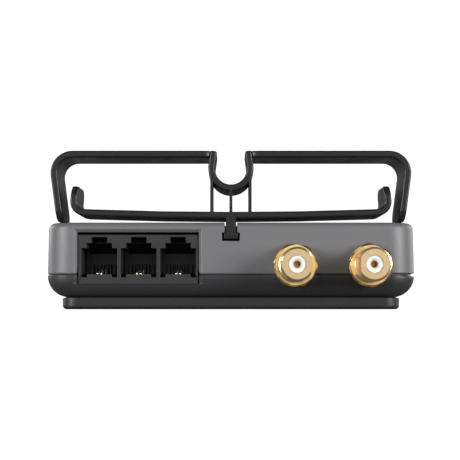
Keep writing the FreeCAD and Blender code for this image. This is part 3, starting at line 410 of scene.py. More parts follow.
def ribbon(name: str, points: Sequence[Point], radii: Sequence[float], thickness: float, depth: float,
           tip_corner: float = 3.4, edge_round: float = 0.55) -> Piece:
    """Strip of constant thickness that follows a path and has a constant depth along Y.

    Args:
        name: The piece's name.
        points: The path's corners in millimetres, along the strip's middle.
        radii: Radius at each inner corner.
        thickness: Thickness of the strip.
        depth: Depth of the strip along Y.
        tip_corner: Radius of the corners of its two ends, seen from the side, or 0.
        edge_round: Radius along its front and back edges.

    Returns:
        The strip.
    """
    points = [Vector(point) for point in points]
    points[0] += (points[0] - points[1]).normalized() * (thickness / 2)
    points[-1] += (points[-1] - points[-2]).normalized() * (thickness / 2)
    strip = path_line(name, points, radii)
    draw((0.0, depth, 0.0))
    bpy.ops.object.mode_set(mode="OBJECT")
    apply_modifier(strip, "SOLIDIFY", thickness=thickness * MM, offset=0.0, use_even_offset=True)
    focus(strip)
    bpy.ops.object.mode_set(mode="EDIT")
    bpy.ops.mesh.select_all(action="SELECT")
    bpy.ops.mesh.normals_make_consistent(inside=False)
    bpy.ops.object.mode_set(mode="OBJECT")

    def across_tip(first: Vector, second: Vector) -> bool:
        """Is this a short edge across the thickness at one of the strip's ends?

        Args:
            first: One end, in millimetres.
            second: The other end.

        Returns:
            Whether it is.
        """
        middle = (first + second) / 2
        at_end = any((Vector((middle.x, tip.y, middle.z)) - tip).length < 0.05
                     for tip in (points[0], points[-1]))
        return at_end and abs(first.y - second.y) < NEAR

    if tip_corner:
        round_edges(strip, across_tip, tip_corner, 6)
    return soften(strip, edge_round, segments=4)


# ------------------------------------------------------------------- finishes


@dataclass(frozen=True)
class Wiring:
    """Short way to add and link nodes in one node tree."""

    tree: bpy.types.NodeTree

    def add(self, kind: str, inputs: Optional[dict] = None, **settings: object) -> bpy.types.Node:
        """Adds a node.

        Args:
            kind: The node's type, without its ShaderNode prefix.
            inputs: For each input's name or number, a value or an output to link.
            **settings: The node's own settings.

        Returns:
            The node.
        """
        prefix = "" if kind.startswith("NodeGroup") else "ShaderNode"
        node = self.tree.nodes.new(prefix + kind)
        for key, value in settings.items():
            setattr(node, key, value)
        for key, value in (inputs or {}).items():
            if isinstance(value, bpy.types.NodeSocket):
                self.tree.links.new(value, node.inputs[key])
            else:
                node.inputs[key].default_value = value
        return node

    def math(self, operation: str, *values: object, clamp: bool = False) -> bpy.types.NodeSocket:
        """Adds a Math node and returns its result."""
        return self.add("Math", dict(enumerate(values)), operation=operation, use_clamp=clamp).outputs[0]

    def spread(self, value: object, low: float, high: float, to_low: float,
               to_high: float) -> bpy.types.NodeSocket:
        """Maps a value from one range to another and returns the result."""
        inputs = {"Value": value, "From Min": low, "From Max": high, "To Min": to_low, "To Max": to_high}
        return self.add("MapRange", inputs).outputs["Result"]

    def blend(self, amount: object, first: object, second: object) -> bpy.types.NodeSocket:
        """Mixes two colours and returns the result."""
        return self.add("Mix", {0: amount, 6: first, 7: second}, data_type="RGBA").outputs[2]


def new_group(name: str, takes: dict[str, tuple[str, object]],
              gives: dict[str, str]) -> tuple[Wiring, bpy.types.Node, bpy.types.Node]:
    """Starts a node group with named inputs and outputs.

    Args:
        name: The group's name.
        takes: For each input, its socket type and its starting value.
        gives: For each output, its socket type.

    Returns:
        The group's wiring, its input node and its output node.
    """
    tree = bpy.data.node_groups.new(name, "ShaderNodeTree")
    for label, (kind, start) in takes.items():
        socket = tree.interface.new_socket(name=label, in_out="INPUT", socket_type="NodeSocket" + kind)
        if start is not None:
            socket.default_value = start
    for label, kind in gives.items():
        tree.interface.new_socket(name=label, in_out="OUTPUT", socket_type="NodeSocket" + kind)
    wiring = Wiring(tree)
    return wiring, wiring.add("NodeGroupInput"), wiring.add("NodeGroupOutput")


def grain_group() -> bpy.types.NodeTree:
    """Spark-eroded mould grain: a height, a light and dark speckle, and slow cloudiness.

    Returns:
        The group's node tree.
    """
    wiring, takes, gives = new_group(
        "mould_grain", {"Place": ("Vector", None), "Grain per metre": ("Float", 3000.0)},
        {"Height": "Float", "Speckle": "Float", "Cloud": "Float"})
    scale = takes.outputs["Grain per metre"]
    place_in = takes.outputs["Place"]
    fine = wiring.add("TexNoise", {"Vector": place_in, "Scale": scale, "Detail": 2.0, "Roughness": 0.6})
    cells = wiring.add("TexVoronoi", {"Vector": place_in, "Scale": wiring.math("MULTIPLY", scale, 0.6)},
                       feature="SMOOTH_F1")
    height = wiring.math("ADD", wiring.math("MULTIPLY", fine.outputs["Fac"], 0.6),
                         wiring.math("MULTIPLY", cells.outputs["Distance"], 0.4))
    cloud = wiring.add("TexNoise", {"Vector": place_in, "Scale": 45.0, "Detail": 4.0})
    links = wiring.tree.links
    links.new(height, gives.inputs["Height"])
    links.new(wiring.spread(fine.outputs["Fac"], 0.3, 0.7, 0.0, 1.0), gives.inputs["Speckle"])
    links.new(wiring.spread(cloud.outputs["Fac"], 0.3, 0.7, 0.0, 1.0), gives.inputs["Cloud"])
    return wiring.tree


def wear_group() -> bpy.types.NodeTree:
    """Rubbed edges: a mask that is high where the surface turns sharply, broken up by noise.

    Returns:
        The group's node tree.
    """
    wiring, takes, gives = new_group("rubbed_edges", {"Place": ("Vector", None), "Reach": ("Float", 0.0004)},
                                     {"Mask": "Float"})
    soft = wiring.add("Bevel", {"Radius": takes.outputs["Reach"]}, samples=4)
    true_normal = wiring.add("NewGeometry").outputs["Normal"]
    match = wiring.add("VectorMath", {0: soft.outputs["Normal"], 1: true_normal}, operation="DOT_PRODUCT")
    turned = wiring.spread(match.outputs["Value"], 0.985, 0.80, 0.0, 1.0)
    patchy = wiring.add("TexNoise", {"Vector": takes.outputs["Place"], "Scale": 900.0, "Detail": 5.0})
    broken = wiring.spread(patchy.outputs["Fac"], 0.40, 0.62, 0.0, 1.0)
    wiring.tree.links.new(wiring.math("MULTIPLY", turned, broken, clamp=True), gives.inputs["Mask"])
    return wiring.tree


def dust_group() -> bpy.types.NodeTree:
    """Dust that settles on faces that look up, thicker in patches.

    Returns:
        The group's node tree.
    """
    wiring, takes, gives = new_group("settled_dust", {"Place": ("Vector", None)}, {"Mask": "Float"})
    normal = wiring.add("SeparateXYZ", {0: wiring.add("NewGeometry").outputs["Normal"]})
    up = wiring.spread(normal.outputs["Z"], 0.6, 1.0, 0.0, 1.0)
    patches = wiring.add("TexNoise", {"Vector": takes.outputs["Place"], "Scale": 120.0, "Detail": 6.0,
                                      "Roughness": 0.7})
    amount = wiring.spread(patches.outputs["Fac"], 0.35, 0.75, 0.2, 1.0)
    wiring.tree.links.new(wiring.math("MULTIPLY", up, amount, clamp=True), gives.inputs["Mask"])
    return wiring.tree


def scratch_group() -> bpy.types.NodeTree:
    """Hairline handling marks in two directions.

    Returns:
        The group's node tree.
    """
    wiring, takes, gives = new_group("hairlines", {"Place": ("Vector", None)}, {"Mask": "Float"})
    masks = []
    for turn, stretch in ((0.5, (60.0, 60.0, 2200.0)), (1.9, (2000.0, 70.0, 70.0))):
        turned = wiring.add("Mapping", {"Vector": takes.outputs["Place"], "Scale": stretch,
                                        "Rotation": (turn, turn * 0.6, turn)})
        lines = wiring.add("TexNoise", {"Vector": turned.outputs[0], "Scale": 1.0, "Detail": 1.0})
        masks.append(wiring.spread(lines.outputs["Fac"], 0.66, 0.74, 0.0, 1.0))
    wiring.tree.links.new(wiring.math("MAXIMUM", *masks, clamp=True), gives.inputs["Mask"])
    return wiring.tree


class Effects:
    """The node groups that several finishes share, each made once."""

    makers: dict[str, Callable[[], bpy.types.NodeTree]] = {
        "mould_grain": grain_group, "rubbed_edges": wear_group, "settled_dust": dust_group,
        "hairlines": scratch_group}

    @classmethod
    def use(cls, wiring: Wiring, name: str, **inputs: object) -> bpy.types.Node:
        """Places a shared group in a material.

        Args:
            wiring: The material's wiring.
            name: The group's name.
            **inputs: Values or links for its inputs, with underscores for spaces.

        Returns:
            The group's node.
        """
        tree = bpy.data.node_groups.get(name) or cls.makers[name]()
        node = wiring.add("Group", node_tree=tree)
        for label, value in inputs.items():
            socket = node.inputs[label.replace("_", " ")]
            if isinstance(value, bpy.types.NodeSocket):
                wiring.tree.links.new(value, socket)
            else:
                socket.default_value = value
        return node


def colour(red: float, green: float, blue: float) -> tuple[float, float, float, float]:
    """Opaque colour."""
    return (red, green, blue, 1.0)


def scaled(base: Sequence[float], amount: float) -> tuple[float, float, float, float]:
    """A colour made lighter or darker."""
    return colour(*(min(1.0, c * amount) for c in base[:3]))


@dataclass(frozen=True)
class Finish:
    """A surface finish. Its name is the material's name, and slot is the record's slot it belongs to."""

    name: str
    slot: str
    base: tuple[float, float, float, float]
    roughness: float = 0.5

    def start(self) -> tuple[Wiring, bpy.types.Node, bpy.types.NodeSocket, bpy.types.Material]:
        """Makes the empty material.

        Returns:
            Its wiring, its surface shader, its object coordinates and the material.
        """
        material = bpy.data.materials.new(self.name)
        material.use_nodes = True
        material.diffuse_color = self.base
        wiring = Wiring(material.node_tree)
        shader = material.node_tree.nodes["Principled BSDF"]
        coordinates = wiring.add("TexCoord").outputs["Object"]
        return wiring, shader, coordinates, material

    def material(self) -> bpy.types.Material:
        """The finished material, made the first time it is asked for."""
        return bpy.data.materials.get(self.name) or self.build()

    def build(self) -> bpy.types.Material:
        """Makes the material."""
        raise NotImplementedError


def feed(wiring: Wiring, shader: bpy.types.Node, base: object, roughness: object, height: object,
         depth: float) -> None:
    """Links a colour, a roughness and a bump height into a surface shader.

    Args:
        wiring: The material's wiring.
        shader: Its surface shader.
        base: Colour output.
        roughness: Roughness output.
        height: Height output.
        depth: Bump depth in metres.
    """
    wiring.tree.links.new(base, shader.inputs["Base Color"])
    wiring.tree.links.new(roughness, shader.inputs["Roughness"])
    bump = wiring.add("Bump", {"Height": height, "Distance": depth, "Strength": 1.0})
    wiring.tree.links.new(bump.outputs["Normal"], shader.inputs["Normal"])


@dataclass(frozen=True)
class MouldedPlastic(Finish):
    """Moulded plastic with mould grain, rubbed edges, handling marks and a little dust."""

    grain: float = 3200.0
    depth: float = 0.00002
    wear: float = 0.25
    dust: float = 0.06
    specular: float = 0.5

    def build(self) -> bpy.types.Material:
        """Makes the material.

        Returns:
            The material.
        """
        wiring, shader, where, material = self.start()
        grain = Effects.use(wiring, "mould_grain", Place=where, Grain_per_metre=self.grain)
        rubbed = Effects.use(wiring, "rubbed_edges", Place=where).outputs["Mask"]
        dusty = Effects.use(wiring, "settled_dust", Place=where).outputs["Mask"]
        marks = Effects.use(wiring, "hairlines", Place=where).outputs["Mask"]
        tint = wiring.blend(grain.outputs["Speckle"], scaled(self.base, 0.90), scaled(self.base, 1.10))
        cloud = wiring.math("MULTIPLY", grain.outputs["Cloud"], 0.35)
        tint = wiring.blend(cloud, tint, scaled(self.base, 0.93))
        tint = wiring.blend(wiring.math("MULTIPLY", rubbed, self.wear), tint, scaled(self.base, 1.9))
        tint = wiring.blend(wiring.math("MULTIPLY", dusty, self.dust), tint, colour(0.45, 0.44, 0.42))
        rough = wiring.spread(grain.outputs["Cloud"], 0.0, 1.0, self.roughness - 0.05, self.roughness + 0.05)
        rough = wiring.math("SUBTRACT", rough, wiring.math("MULTIPLY", rubbed, 0.10))
        rough = wiring.math("ADD", rough, wiring.math("MULTIPLY", marks, 0.06), clamp=True)
        height = wiring.math("SUBTRACT", grain.outputs["Height"], wiring.math("MULTIPLY", marks, 0.15))
        feed(wiring, shader, tint, rough, height, self.depth)
        shader.inputs["Specular IOR Level"].default_value = self.specular
        return material


@dataclass(frozen=True)
class TurnedGold(Finish):
    """Gold-plated brass with lathe rings about its own axis and slightly duller patches."""

    centre: tuple[float, float] = (0.0, 0.0)
    ring: float = 16000.0

    def build(self) -> bpy.types.Material:
        """Makes the material.

        Returns:
            The material.
        """
        wiring, shader, where, material = self.start()
        split = wiring.add("SeparateXYZ", {0: where})
        across = wiring.math("SUBTRACT", split.outputs["X"], self.centre[0] * MM)
        above = wiring.math("SUBTRACT", split.outputs["Z"], self.centre[1] * MM)
        radius = wiring.math("SQRT", wiring.math("ADD", wiring.math("MULTIPLY", across, across),
                                                 wiring.math("MULTIPLY", above, above)))
        along = wiring.add("CombineXYZ", {"X": radius, "Y": split.outputs["Y"]}).outputs[0]
        rings = wiring.add("TexNoise", {"Vector": along, "Scale": self.ring, "Detail": 1.0})
        patches = wiring.add("TexNoise", {"Vector": where, "Scale": 500.0, "Detail": 4.0})
        grime = wiring.add("TexNoise", {"Vector": where, "Scale": 1500.0, "Detail": 6.0, "Roughness": 0.7})
        dull = wiring.spread(patches.outputs["Fac"], 0.35, 0.7, 0.0, 1.0)
        dirt = wiring.spread(grime.outputs["Fac"], 0.58, 0.75, 0.0, 0.35)
        browned = colour(self.base[0] * 0.92, self.base[1] * 0.86, self.base[2] * 0.74)
        tint = wiring.blend(dull, self.base, browned)
        tint = wiring.blend(dirt, tint, colour(0.30, 0.20, 0.10))
        rough = wiring.spread(dull, 0.0, 1.0, self.roughness - 0.04, self.roughness + 0.10)
        feed(wiring, shader, tint, rough, rings.outputs["Fac"], 0.000004)
        shader.inputs["Metallic"].default_value = 1.0
        return material


@dataclass(frozen=True)
class SheetMetal(Finish):
    """Rolled or drawn metal with a directional brush and stains."""

    stretch: tuple[float, float, float] = (200.0, 6000.0, 6000.0)

    def build(self) -> bpy.types.Material:
        """Makes the material.

        Returns:
            The material.
        """
        wiring, shader, where, material = self.start()
        drawn = wiring.add("Mapping", {"Vector": where, "Scale": self.stretch})
        brush = wiring.add("TexNoise", {"Vector": drawn.outputs[0], "Scale": 1.0, "Detail": 3.0})
        stains = wiring.add("TexNoise", {"Vector": where, "Scale": 260.0, "Detail": 5.0})
        marks = Effects.use(wiring, "hairlines", Place=where).outputs["Mask"]
        stain = wiring.spread(stains.outputs["Fac"], 0.4, 0.7, 0.0, 0.5)
        tint = wiring.blend(stain, self.base, scaled(self.base, 0.72))
        rough = wiring.spread(brush.outputs["Fac"], 0.3, 0.7, self.roughness - 0.08, self.roughness + 0.10)
        rough = wiring.math("ADD", rough, wiring.math("MULTIPLY", marks, 0.1), clamp=True)
        feed(wiring, shader, tint, rough, brush.outputs["Fac"], 0.000005)
        shader.inputs["Metallic"].default_value = 1.0
        return material


@dataclass(frozen=True)
class SolidBody(Finish):
    """Insulators, ceramics and other dense bodies with faint mottling."""

    mottle: float = 700.0
    contrast: float = 0.06
    depth: float = 0.000006
    glow: float = 0.0
    clear: float = 0.0

    def build(self) -> bpy.types.Material:
        """Makes the material.

        Returns:
            The material.
        """
        wiring, shader, where, material = self.start()
        mottle = wiring.add("TexNoise", {"Vector": where, "Scale": self.mottle, "Detail": 5.0})
        fine = wiring.add("TexNoise", {"Vector": where, "Scale": 5000.0, "Detail": 2.0})
        amount = wiring.spread(mottle.outputs["Fac"], 0.3, 0.7, 0.0, 1.0)
        dark, light = scaled(self.base, 1 - self.contrast), scaled(self.base, 1 + self.contrast)
        tint = wiring.blend(amount, dark, light)
        rough = wiring.spread(mottle.outputs["Fac"], 0.3, 0.7, self.roughness - 0.05, self.roughness + 0.05)
        feed(wiring, shader, tint, rough, fine.outputs["Fac"], self.depth)
        if self.glow:
            shader.inputs["Subsurface Weight"].default_value = self.glow
            shader.inputs["Subsurface Scale"].default_value = 0.001
        if self.clear:
            shader.inputs["Transmission Weight"].default_value = self.clear
        return material


@dataclass(frozen=True)
class CircuitBoard(Finish):
    """Solder mask over copper tracks, with plated holes."""

    def build(self) -> bpy.types.Material:
        """Makes the material.

        Returns:
            The material.
        """
        wiring, shader, where, material = self.start()
        tracks = []
        for turn in (0.0, math.pi / 2, math.pi / 4):
            turned = wiring.add("Mapping", {"Vector": where, "Rotation": (0.0, 0.0, turn)})
            bend = wiring.add("TexWave", {"Vector": turned.outputs[0], "Scale": 180.0, "Distortion": 1.5,
                                          "Detail": 0.0, "Detail Scale": 1.0}, wave_type="BANDS")
            region = wiring.add("TexNoise", {"Vector": turned.outputs[0], "Scale": 60.0, "Detail": 0.0})
            here = wiring.spread(region.outputs["Fac"], 0.50, 0.52, 0.0, 1.0)
            line = wiring.spread(bend.outputs["Fac"], 0.70, 0.76, 0.0, 1.0)
            tracks.append(wiring.math("MULTIPLY", here, line))
        track = wiring.math("MAXIMUM", wiring.math("MAXIMUM", tracks[0], tracks[1]), tracks[2])
        holes = wiring.add("TexVoronoi", {"Vector": where, "Scale": 260.0}, feature="F1")
        pad = wiring.spread(holes.outputs["Distance"], 0.17, 0.13, 0.0, 1.0)
        tint = wiring.blend(track, self.base, scaled(self.base, 1.9))
        tint = wiring.blend(pad, tint, colour(0.65, 0.52, 0.28))
        rough = wiring.spread(pad, 0.0, 1.0, self.roughness, 0.25)
        feed(wiring, shader, tint, rough, wiring.math("MAXIMUM", track, pad), 0.00003)
        return material


GREY_PLASTIC = MouldedPlastic("cover_grey", "grey_plastic", colour(0.103, 0.102, 0.108), 0.47, grain=3600.0,
                              depth=0.000014)
CHARCOAL_PLASTIC = MouldedPlastic("tray_charcoal", "charcoal_plastic", colour(0.021, 0.0205, 0.0225), 0.46,
                                  grain=2600.0, depth=0.00003, specular=0.45)
PLATE_PLASTIC = MouldedPlastic("plate_charcoal", "charcoal_plastic", colour(0.013, 0.0127, 0.0142), 0.46,
                               grain=2200.0, depth=0.00004, specular=0.30)
GUIDE_PLASTIC = MouldedPlastic("guide_black", "guide_plastic", colour(0.0085, 0.0085, 0.0092), 0.36,
                               grain=1800.0, depth=0.00001, wear=0.35, specular=0.28)
JACK_PLASTIC = MouldedPlastic("jack_plastic", "black_plastic", colour(0.0165, 0.0165, 0.0175), 0.5,
                              grain=5000.0, depth=0.00001, dust=0.1, specular=0.35)
BUTTON_PLASTIC = MouldedPlastic("key_grey", "button_plastic", colour(0.05, 0.05, 0.055), 0.3,
                                grain=2200.0, depth=0.000006)
GREEN_PLASTIC = MouldedPlastic("adapter_green", "green_plastic", colour(0.03, 0.33, 0.12), 0.34,
                               grain=2500.0, depth=0.000008, dust=0.03)
GOLD = colour(0.76, 0.58, 0.345)
NUT_GOLD = colour(0.86, 0.60, 0.27)
CONTACT_GOLD = TurnedGold("contact_gold", "gold", colour(0.90, 0.72, 0.42), 0.2)
# Paler gold for the phone contacts: its near-white colour is a painted highlight that stands in for the
# bright glints on the contact tips.
PAINTED_HIGHLIGHT_GOLD = TurnedGold("contact_wire_gold", "gold", colour(0.96, 0.90, 0.76), 0.32)
WHITE_INSULATOR = SolidBody("white_insulator", "white_dielectric", colour(0.70, 0.69, 0.665), 0.45, glow=0.12)
TIN_STEEL = SheetMetal("tin_steel", "steel", colour(0.62, 0.62, 0.63), 0.34)
PLAIN_ALUMINIUM = SheetMetal("plain_aluminium", "aluminium", colour(0.77, 0.77, 0.79), 0.38,
                             stretch=(4000.0, 150.0, 4000.0))
COPPER = SheetMetal("copper_winding", "copper", colour(0.72, 0.36, 0.2), 0.3, stretch=(300.0, 300.0, 9000.0))
BOARD = CircuitBoard("board_green", "circuit_board", colour(0.02, 0.14, 0.06), 0.35)
CHIP = SolidBody("chip_epoxy", "chip_package", colour(0.03, 0.03, 0.033), 0.6, mottle=2500.0, contrast=0.2)
CERAMIC = SolidBody("ground_ceramic", "ceramic", colour(0.88, 0.88, 0.86), 0.2, contrast=0.03)
CLEAR = SolidBody("clear_moulding", "clear_plastic", colour(0.85, 0.9, 0.92), 0.18, contrast=0.04, clear=0.6)
LAMP = SolidBody("lamp_body", "lamp", colour(0.78, 0.82, 0.68), 0.35, mottle=3000.0)


def dress(piece: Piece, finish: Finish, body: str, *nodes: str) -> Piece:
    """Gives a piece its finish, its body and the CAD nodes that it stands for.

    Args:
        piece: The piece.
        finish: Its finish.
        body: The CAD body that it moves with.
        *nodes: CAD nodes that it replaces.

    Returns:
        The piece.
    """
    piece.data.materials.clear()
    piece.data.materials.append(finish.material())
    for polygon in piece.data.polygons:
        polygon.material_index = 0
    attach(piece, body)
    if nodes:
        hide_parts(*nodes)
    log.info("%s: %d faces on %s", piece.name, len(piece.data.polygons), body)
    return piece


# --------------------------------------------------------------- sub-assemblies


def turned(name: str, centre: tuple[float, float], profile: Sequence[tuple[float, float]],
           sides: int = 64) -> Piece:
    """Turns a closed outline about an axis along Y, as on a lathe.

    Args:
        name: The piece's name.
        centre: x and z of the axis, in millimetres.
        profile: Corners of the outline as radius and y; a radius of 0 lies on the axis.
        sides: Number of flats around.

    Returns:
        The turned piece.
    """
    spots = [Vector((centre[0] + radius, y, centre[1])) for radius, y in profile]
    piece = start_line(name, spots[0])
    for here, there in zip(spots, spots[1:] + spots[:1]):
        draw(there - here)
    bpy.ops.mesh.select_all(action="SELECT")
    bpy.ops.mesh.remove_doubles(threshold=0.001 * MM)
    bpy.ops.mesh.select_all(action="SELECT")
    bpy.ops.mesh.spin(steps=sides, angle=2 * math.pi, center=place((centre[0], 0.0, centre[1])),
                      axis=(0.0, 1.0, 0.0))
    bpy.ops.mesh.select_all(action="SELECT")
    bpy.ops.mesh.remove_doubles(threshold=0.002 * MM)
    bpy.ops.mesh.normals_make_consistent(inside=False)
    bpy.ops.object.mode_set(mode="OBJECT")
    return piece


def wire(name: str, points: Sequence[Sequence[float]], radius: float, bend: float = 0.35) -> Piece:
    """Bends a round wire through points.

    Args:
        name: The piece's name.
        points: The wire's corners, in millimetres.
        radius: Radius of the wire.
        bend: How far from each corner its bend starts.

    Returns:
        The wire.
    """
    start_line(name, points[0])
    for here, there in zip(points, points[1:]):
        draw(Vector(there) - Vector(here))
    if len(points) > 2:
        bpy.ops.mesh.select_all(action="SELECT")
        bpy.ops.mesh.bevel(offset=bend * MM, segments=4, affect="VERTICES")
    bpy.ops.object.mode_set(mode="OBJECT")
    bpy.ops.object.convert(target="CURVE")
    line = bpy.context.object
    line.data.bevel_depth = radius * MM
    line.data.bevel_resolution = 2
    line.data.use_fill_caps = True
    bpy.ops.object.convert(target="MESH")
    return smooth(bpy.context.object, 60.0)


STUD_SPOTS: Spots = ((-32.0, -44.0), (-32.0, 32.0), (32.0, -44.0), (32.0, 32.0))


@dataclass
class Housing:
    """Sizes that the two shells share, and the openings that both are cut by."""

    half_width: float = 51.8
    half_depth: float = 65.0
    wall: float = 2.0
    plan: float = 7.5
    seam: float = 9.8
    edge_round: float = 0.2
    seam_groove: float = 0.30
    recess_low: Point = (-42.65, -66.0, 6.95)
    recess_high: Point = (-8.95, -61.0, 21.4)
    recess_bevel: float = 0.85
    coax_spots: tuple[float, float] = (17.8, 38.5)
    coax_z: float = 12.2
    screw_spots: Spots = ((-42.0, -38.0), (-42.0, 40.0), (42.0, -38.0), (42.0, 40.0))

    def shape(self, name: str, inset: float, low: float, high: float, top: float = 0.0,
              bottom: float = 0.0, draft: float = 0.0) -> Piece:
        """Block in the housing's outline, drawn in by an inset.

        Args:
            name: The piece's name.
            inset: How far inside the outline it stays.
            low: Its lowest height.
            high: Its highest height.
            top: Radius of its top edge.
            bottom: Radius of its bottom edge.
            draft: How far its long sides lean in.

        Returns:
            The block.
        """
        across, along = self.half_width - inset, self.half_depth - inset
        return rounded_block(name, (-across, -along, low), (across, along, high), self.plan - inset,
                             top, bottom, draft)

    def openings(self) -> list[Piece]:
        """Adds the cutters for the sockets at both ends.

        Returns:
            The cutters.
        """
        tools = [add_block("recess", self.recess_low, self.recess_high)]
        for x in self.coax_spots:
            tools.append(add_rod("coax_hole", (x, -66.0, self.coax_z), 4.7, 4.0))
        tools.append(add_block("network_window", (-36.9, 62.0, 6.8), (-7.1, 66.0, 20.9)))
        tools.append(add_block("fibre_window", (-2.6, 62.0, 8.4), (10.6, 66.0, 18.1)))
        tools.append(add_rod("power_hole", (20.0, 62.0, 13.0), 3.8, 4.0))
        tools.append(add_rod("reset_hole", (29.5, 62.0, 12.0), 1.2, 4.0, sides=32))
        tools.append(add_rod("button_hole", (38.0, 62.0, 14.0), 3.75, 4.0))
        return tools

    def pry_notch(self) -> Piece:
        """Cutter for the gap in the seam at the front right corner."""
        corner = add_block("pry_notch", (44.0, -66.0, 9.3), (53.0, -48.0, 10.1))
        return cut(corner, self.shape("notch_floor", 0.9, 9.0, 10.4))

    def bevel_seam(self, shell: Piece) -> None:
        """Draws back a shell's outer edge at the seam, which leaves a fine dark line there.

        Args:
            shell: The shell.
        """

        def on_seam(first: Vector, second: Vector) -> bool:
            """Does this edge lie on the outline at the seam?

            Args:
                first: One end, in millimetres.
                second: The other end.

            Returns:
                Whether it does.
            """
            outside = all(abs(end.x) > self.half_width - self.plan - 0.1 or abs(end.y) > self.half_depth - 0.1
                          for end in (first, second))
            rim = all(max(abs(end.x) - self.half_width, abs(end.y) - self.half_depth) > -2.3
                      for end in (first, second))
            at_wall = all(self.on_outline(end) for end in (first, second))
            return level_at(self.seam)(first, second) and outside and rim and at_wall

        round_edges(shell, on_seam, self.seam_groove, 1)

    def on_outline(self, point: Vector) -> bool:
        """Does a point lie on the housing's outline, seen from above?

        Args:
            point: The point, in millimetres.

        Returns:
            Whether it does.
        """
        across = max(abs(point.x) - (self.half_width - self.plan), 0.0)
        along = max(abs(point.y) - (self.half_depth - self.plan), 0.0)
        if across and along:
            return abs(math.hypot(across, along) - self.plan) < 0.02
        return abs(max(across, along) - self.plan) < 0.02

    def bevel_recess(self, shell: Piece) -> None:
        """Bevels the mouth of the phone recess on a shell.

        Args:
            shell: The shell.
        """
        low, high = self.recess_low, self.recess_high

        def on_mouth(first: Vector, second: Vector) -> bool:
            """Does this edge lie on the mouth's sides or its top?

            Args:
                first: One end, in millimetres.
                second: The other end.

            Returns:
                Whether it does.
            """
            at_front = first.y < -64.4 and second.y < -64.4
            side = any(abs(first.x - x) < 0.02 and abs(second.x - x) < 0.02 for x in (low[0], high[0]))
            top = all(abs(end.z - high[2]) < 0.02 and low[0] - 0.1 < end.x < high[0] + 0.1
                      for end in (first, second))
            return at_front and (side or top)

        round_edges(shell, on_mouth, self.recess_bevel, 1)


@dataclass
class UpperCover(Housing):
    """Upper shell, with the slot for the cable guide, the vents and the lens windows."""

    top: float = 24.2
    top_round: float = 1.75
    draft: float = 0.4
    vent_low: Point = (-22.75, 14.0, 21.0)
    vent_high: Point = (-21.25, 40.0, 25.0)
    vent_pitch: float = 3.6
    vent_count: int = 8
    lens_pitch: float = 9.0

    def vents(self) -> list[Piece]:
        """Adds the cutters for the two groups of vents, each slot with round ends.

        Returns:
            The cutters.
        """
        first = rounded_block("vent", self.vent_low, self.vent_high, 0.72)
        slots = [first]
        for group in (0.0, 44.0):
            for i in range(self.vent_count):
                shift = group + (i - (self.vent_count - 1) / 2) * self.vent_pitch
                slots.append(copy_piece(first, "vent", (shift, 0.0, 0.0)))
        bpy.data.objects.remove(slots.pop(0))
        return slots

    def build(self) -> None:
        """Builds the cover and dresses it."""
        cover = self.shape("upper_cover", 0.0, self.seam, self.top, top=self.top_round, draft=self.draft)
        cut(cover, self.shape("hollow", self.wall, self.seam - 1, self.top - self.wall, draft=self.draft))
        inside = [add_block("channel", (-3.75, -64.0, 17.7), (3.75, -46.9, 23.2))]
        inside += [add_rod("boss", (x, y, 7.0), 3.4, 16.2, Axis.Z, 40) for x, y in self.screw_spots]
        weld(cover, *inside)
        tools = self.openings() + self.vents()
        tools += [add_rod("pilot", (x, y, 6.0), 1.5, 11.5, Axis.Z, 24) for x, y in self.screw_spots]
        for i in range(5):
            x = (i - 2) * self.lens_pitch
            tools.append(rounded_block("lens_window", (x - 1.7, -8.7, 21.0), (x + 1.7, -7.3, 25.0), 0.3))
        tools.append(add_block("slot_wide", (-2.45, -66.0, 19.0), (2.45, -48.2, 21.3)))
        cut(cover, *tools)
        cut(cover, add_block("slot_neck", (-1.75, -66.0, 20.0), (1.75, -48.2, 25.2)))
        cut(cover, self.pry_notch())
        tidy_mesh(cover)
        self.bevel_seam(cover)
        self.bevel_recess(cover)
        soften(cover, self.edge_round)
        dress(cover, GREY_PLASTIC, "housing", "upper_shell")


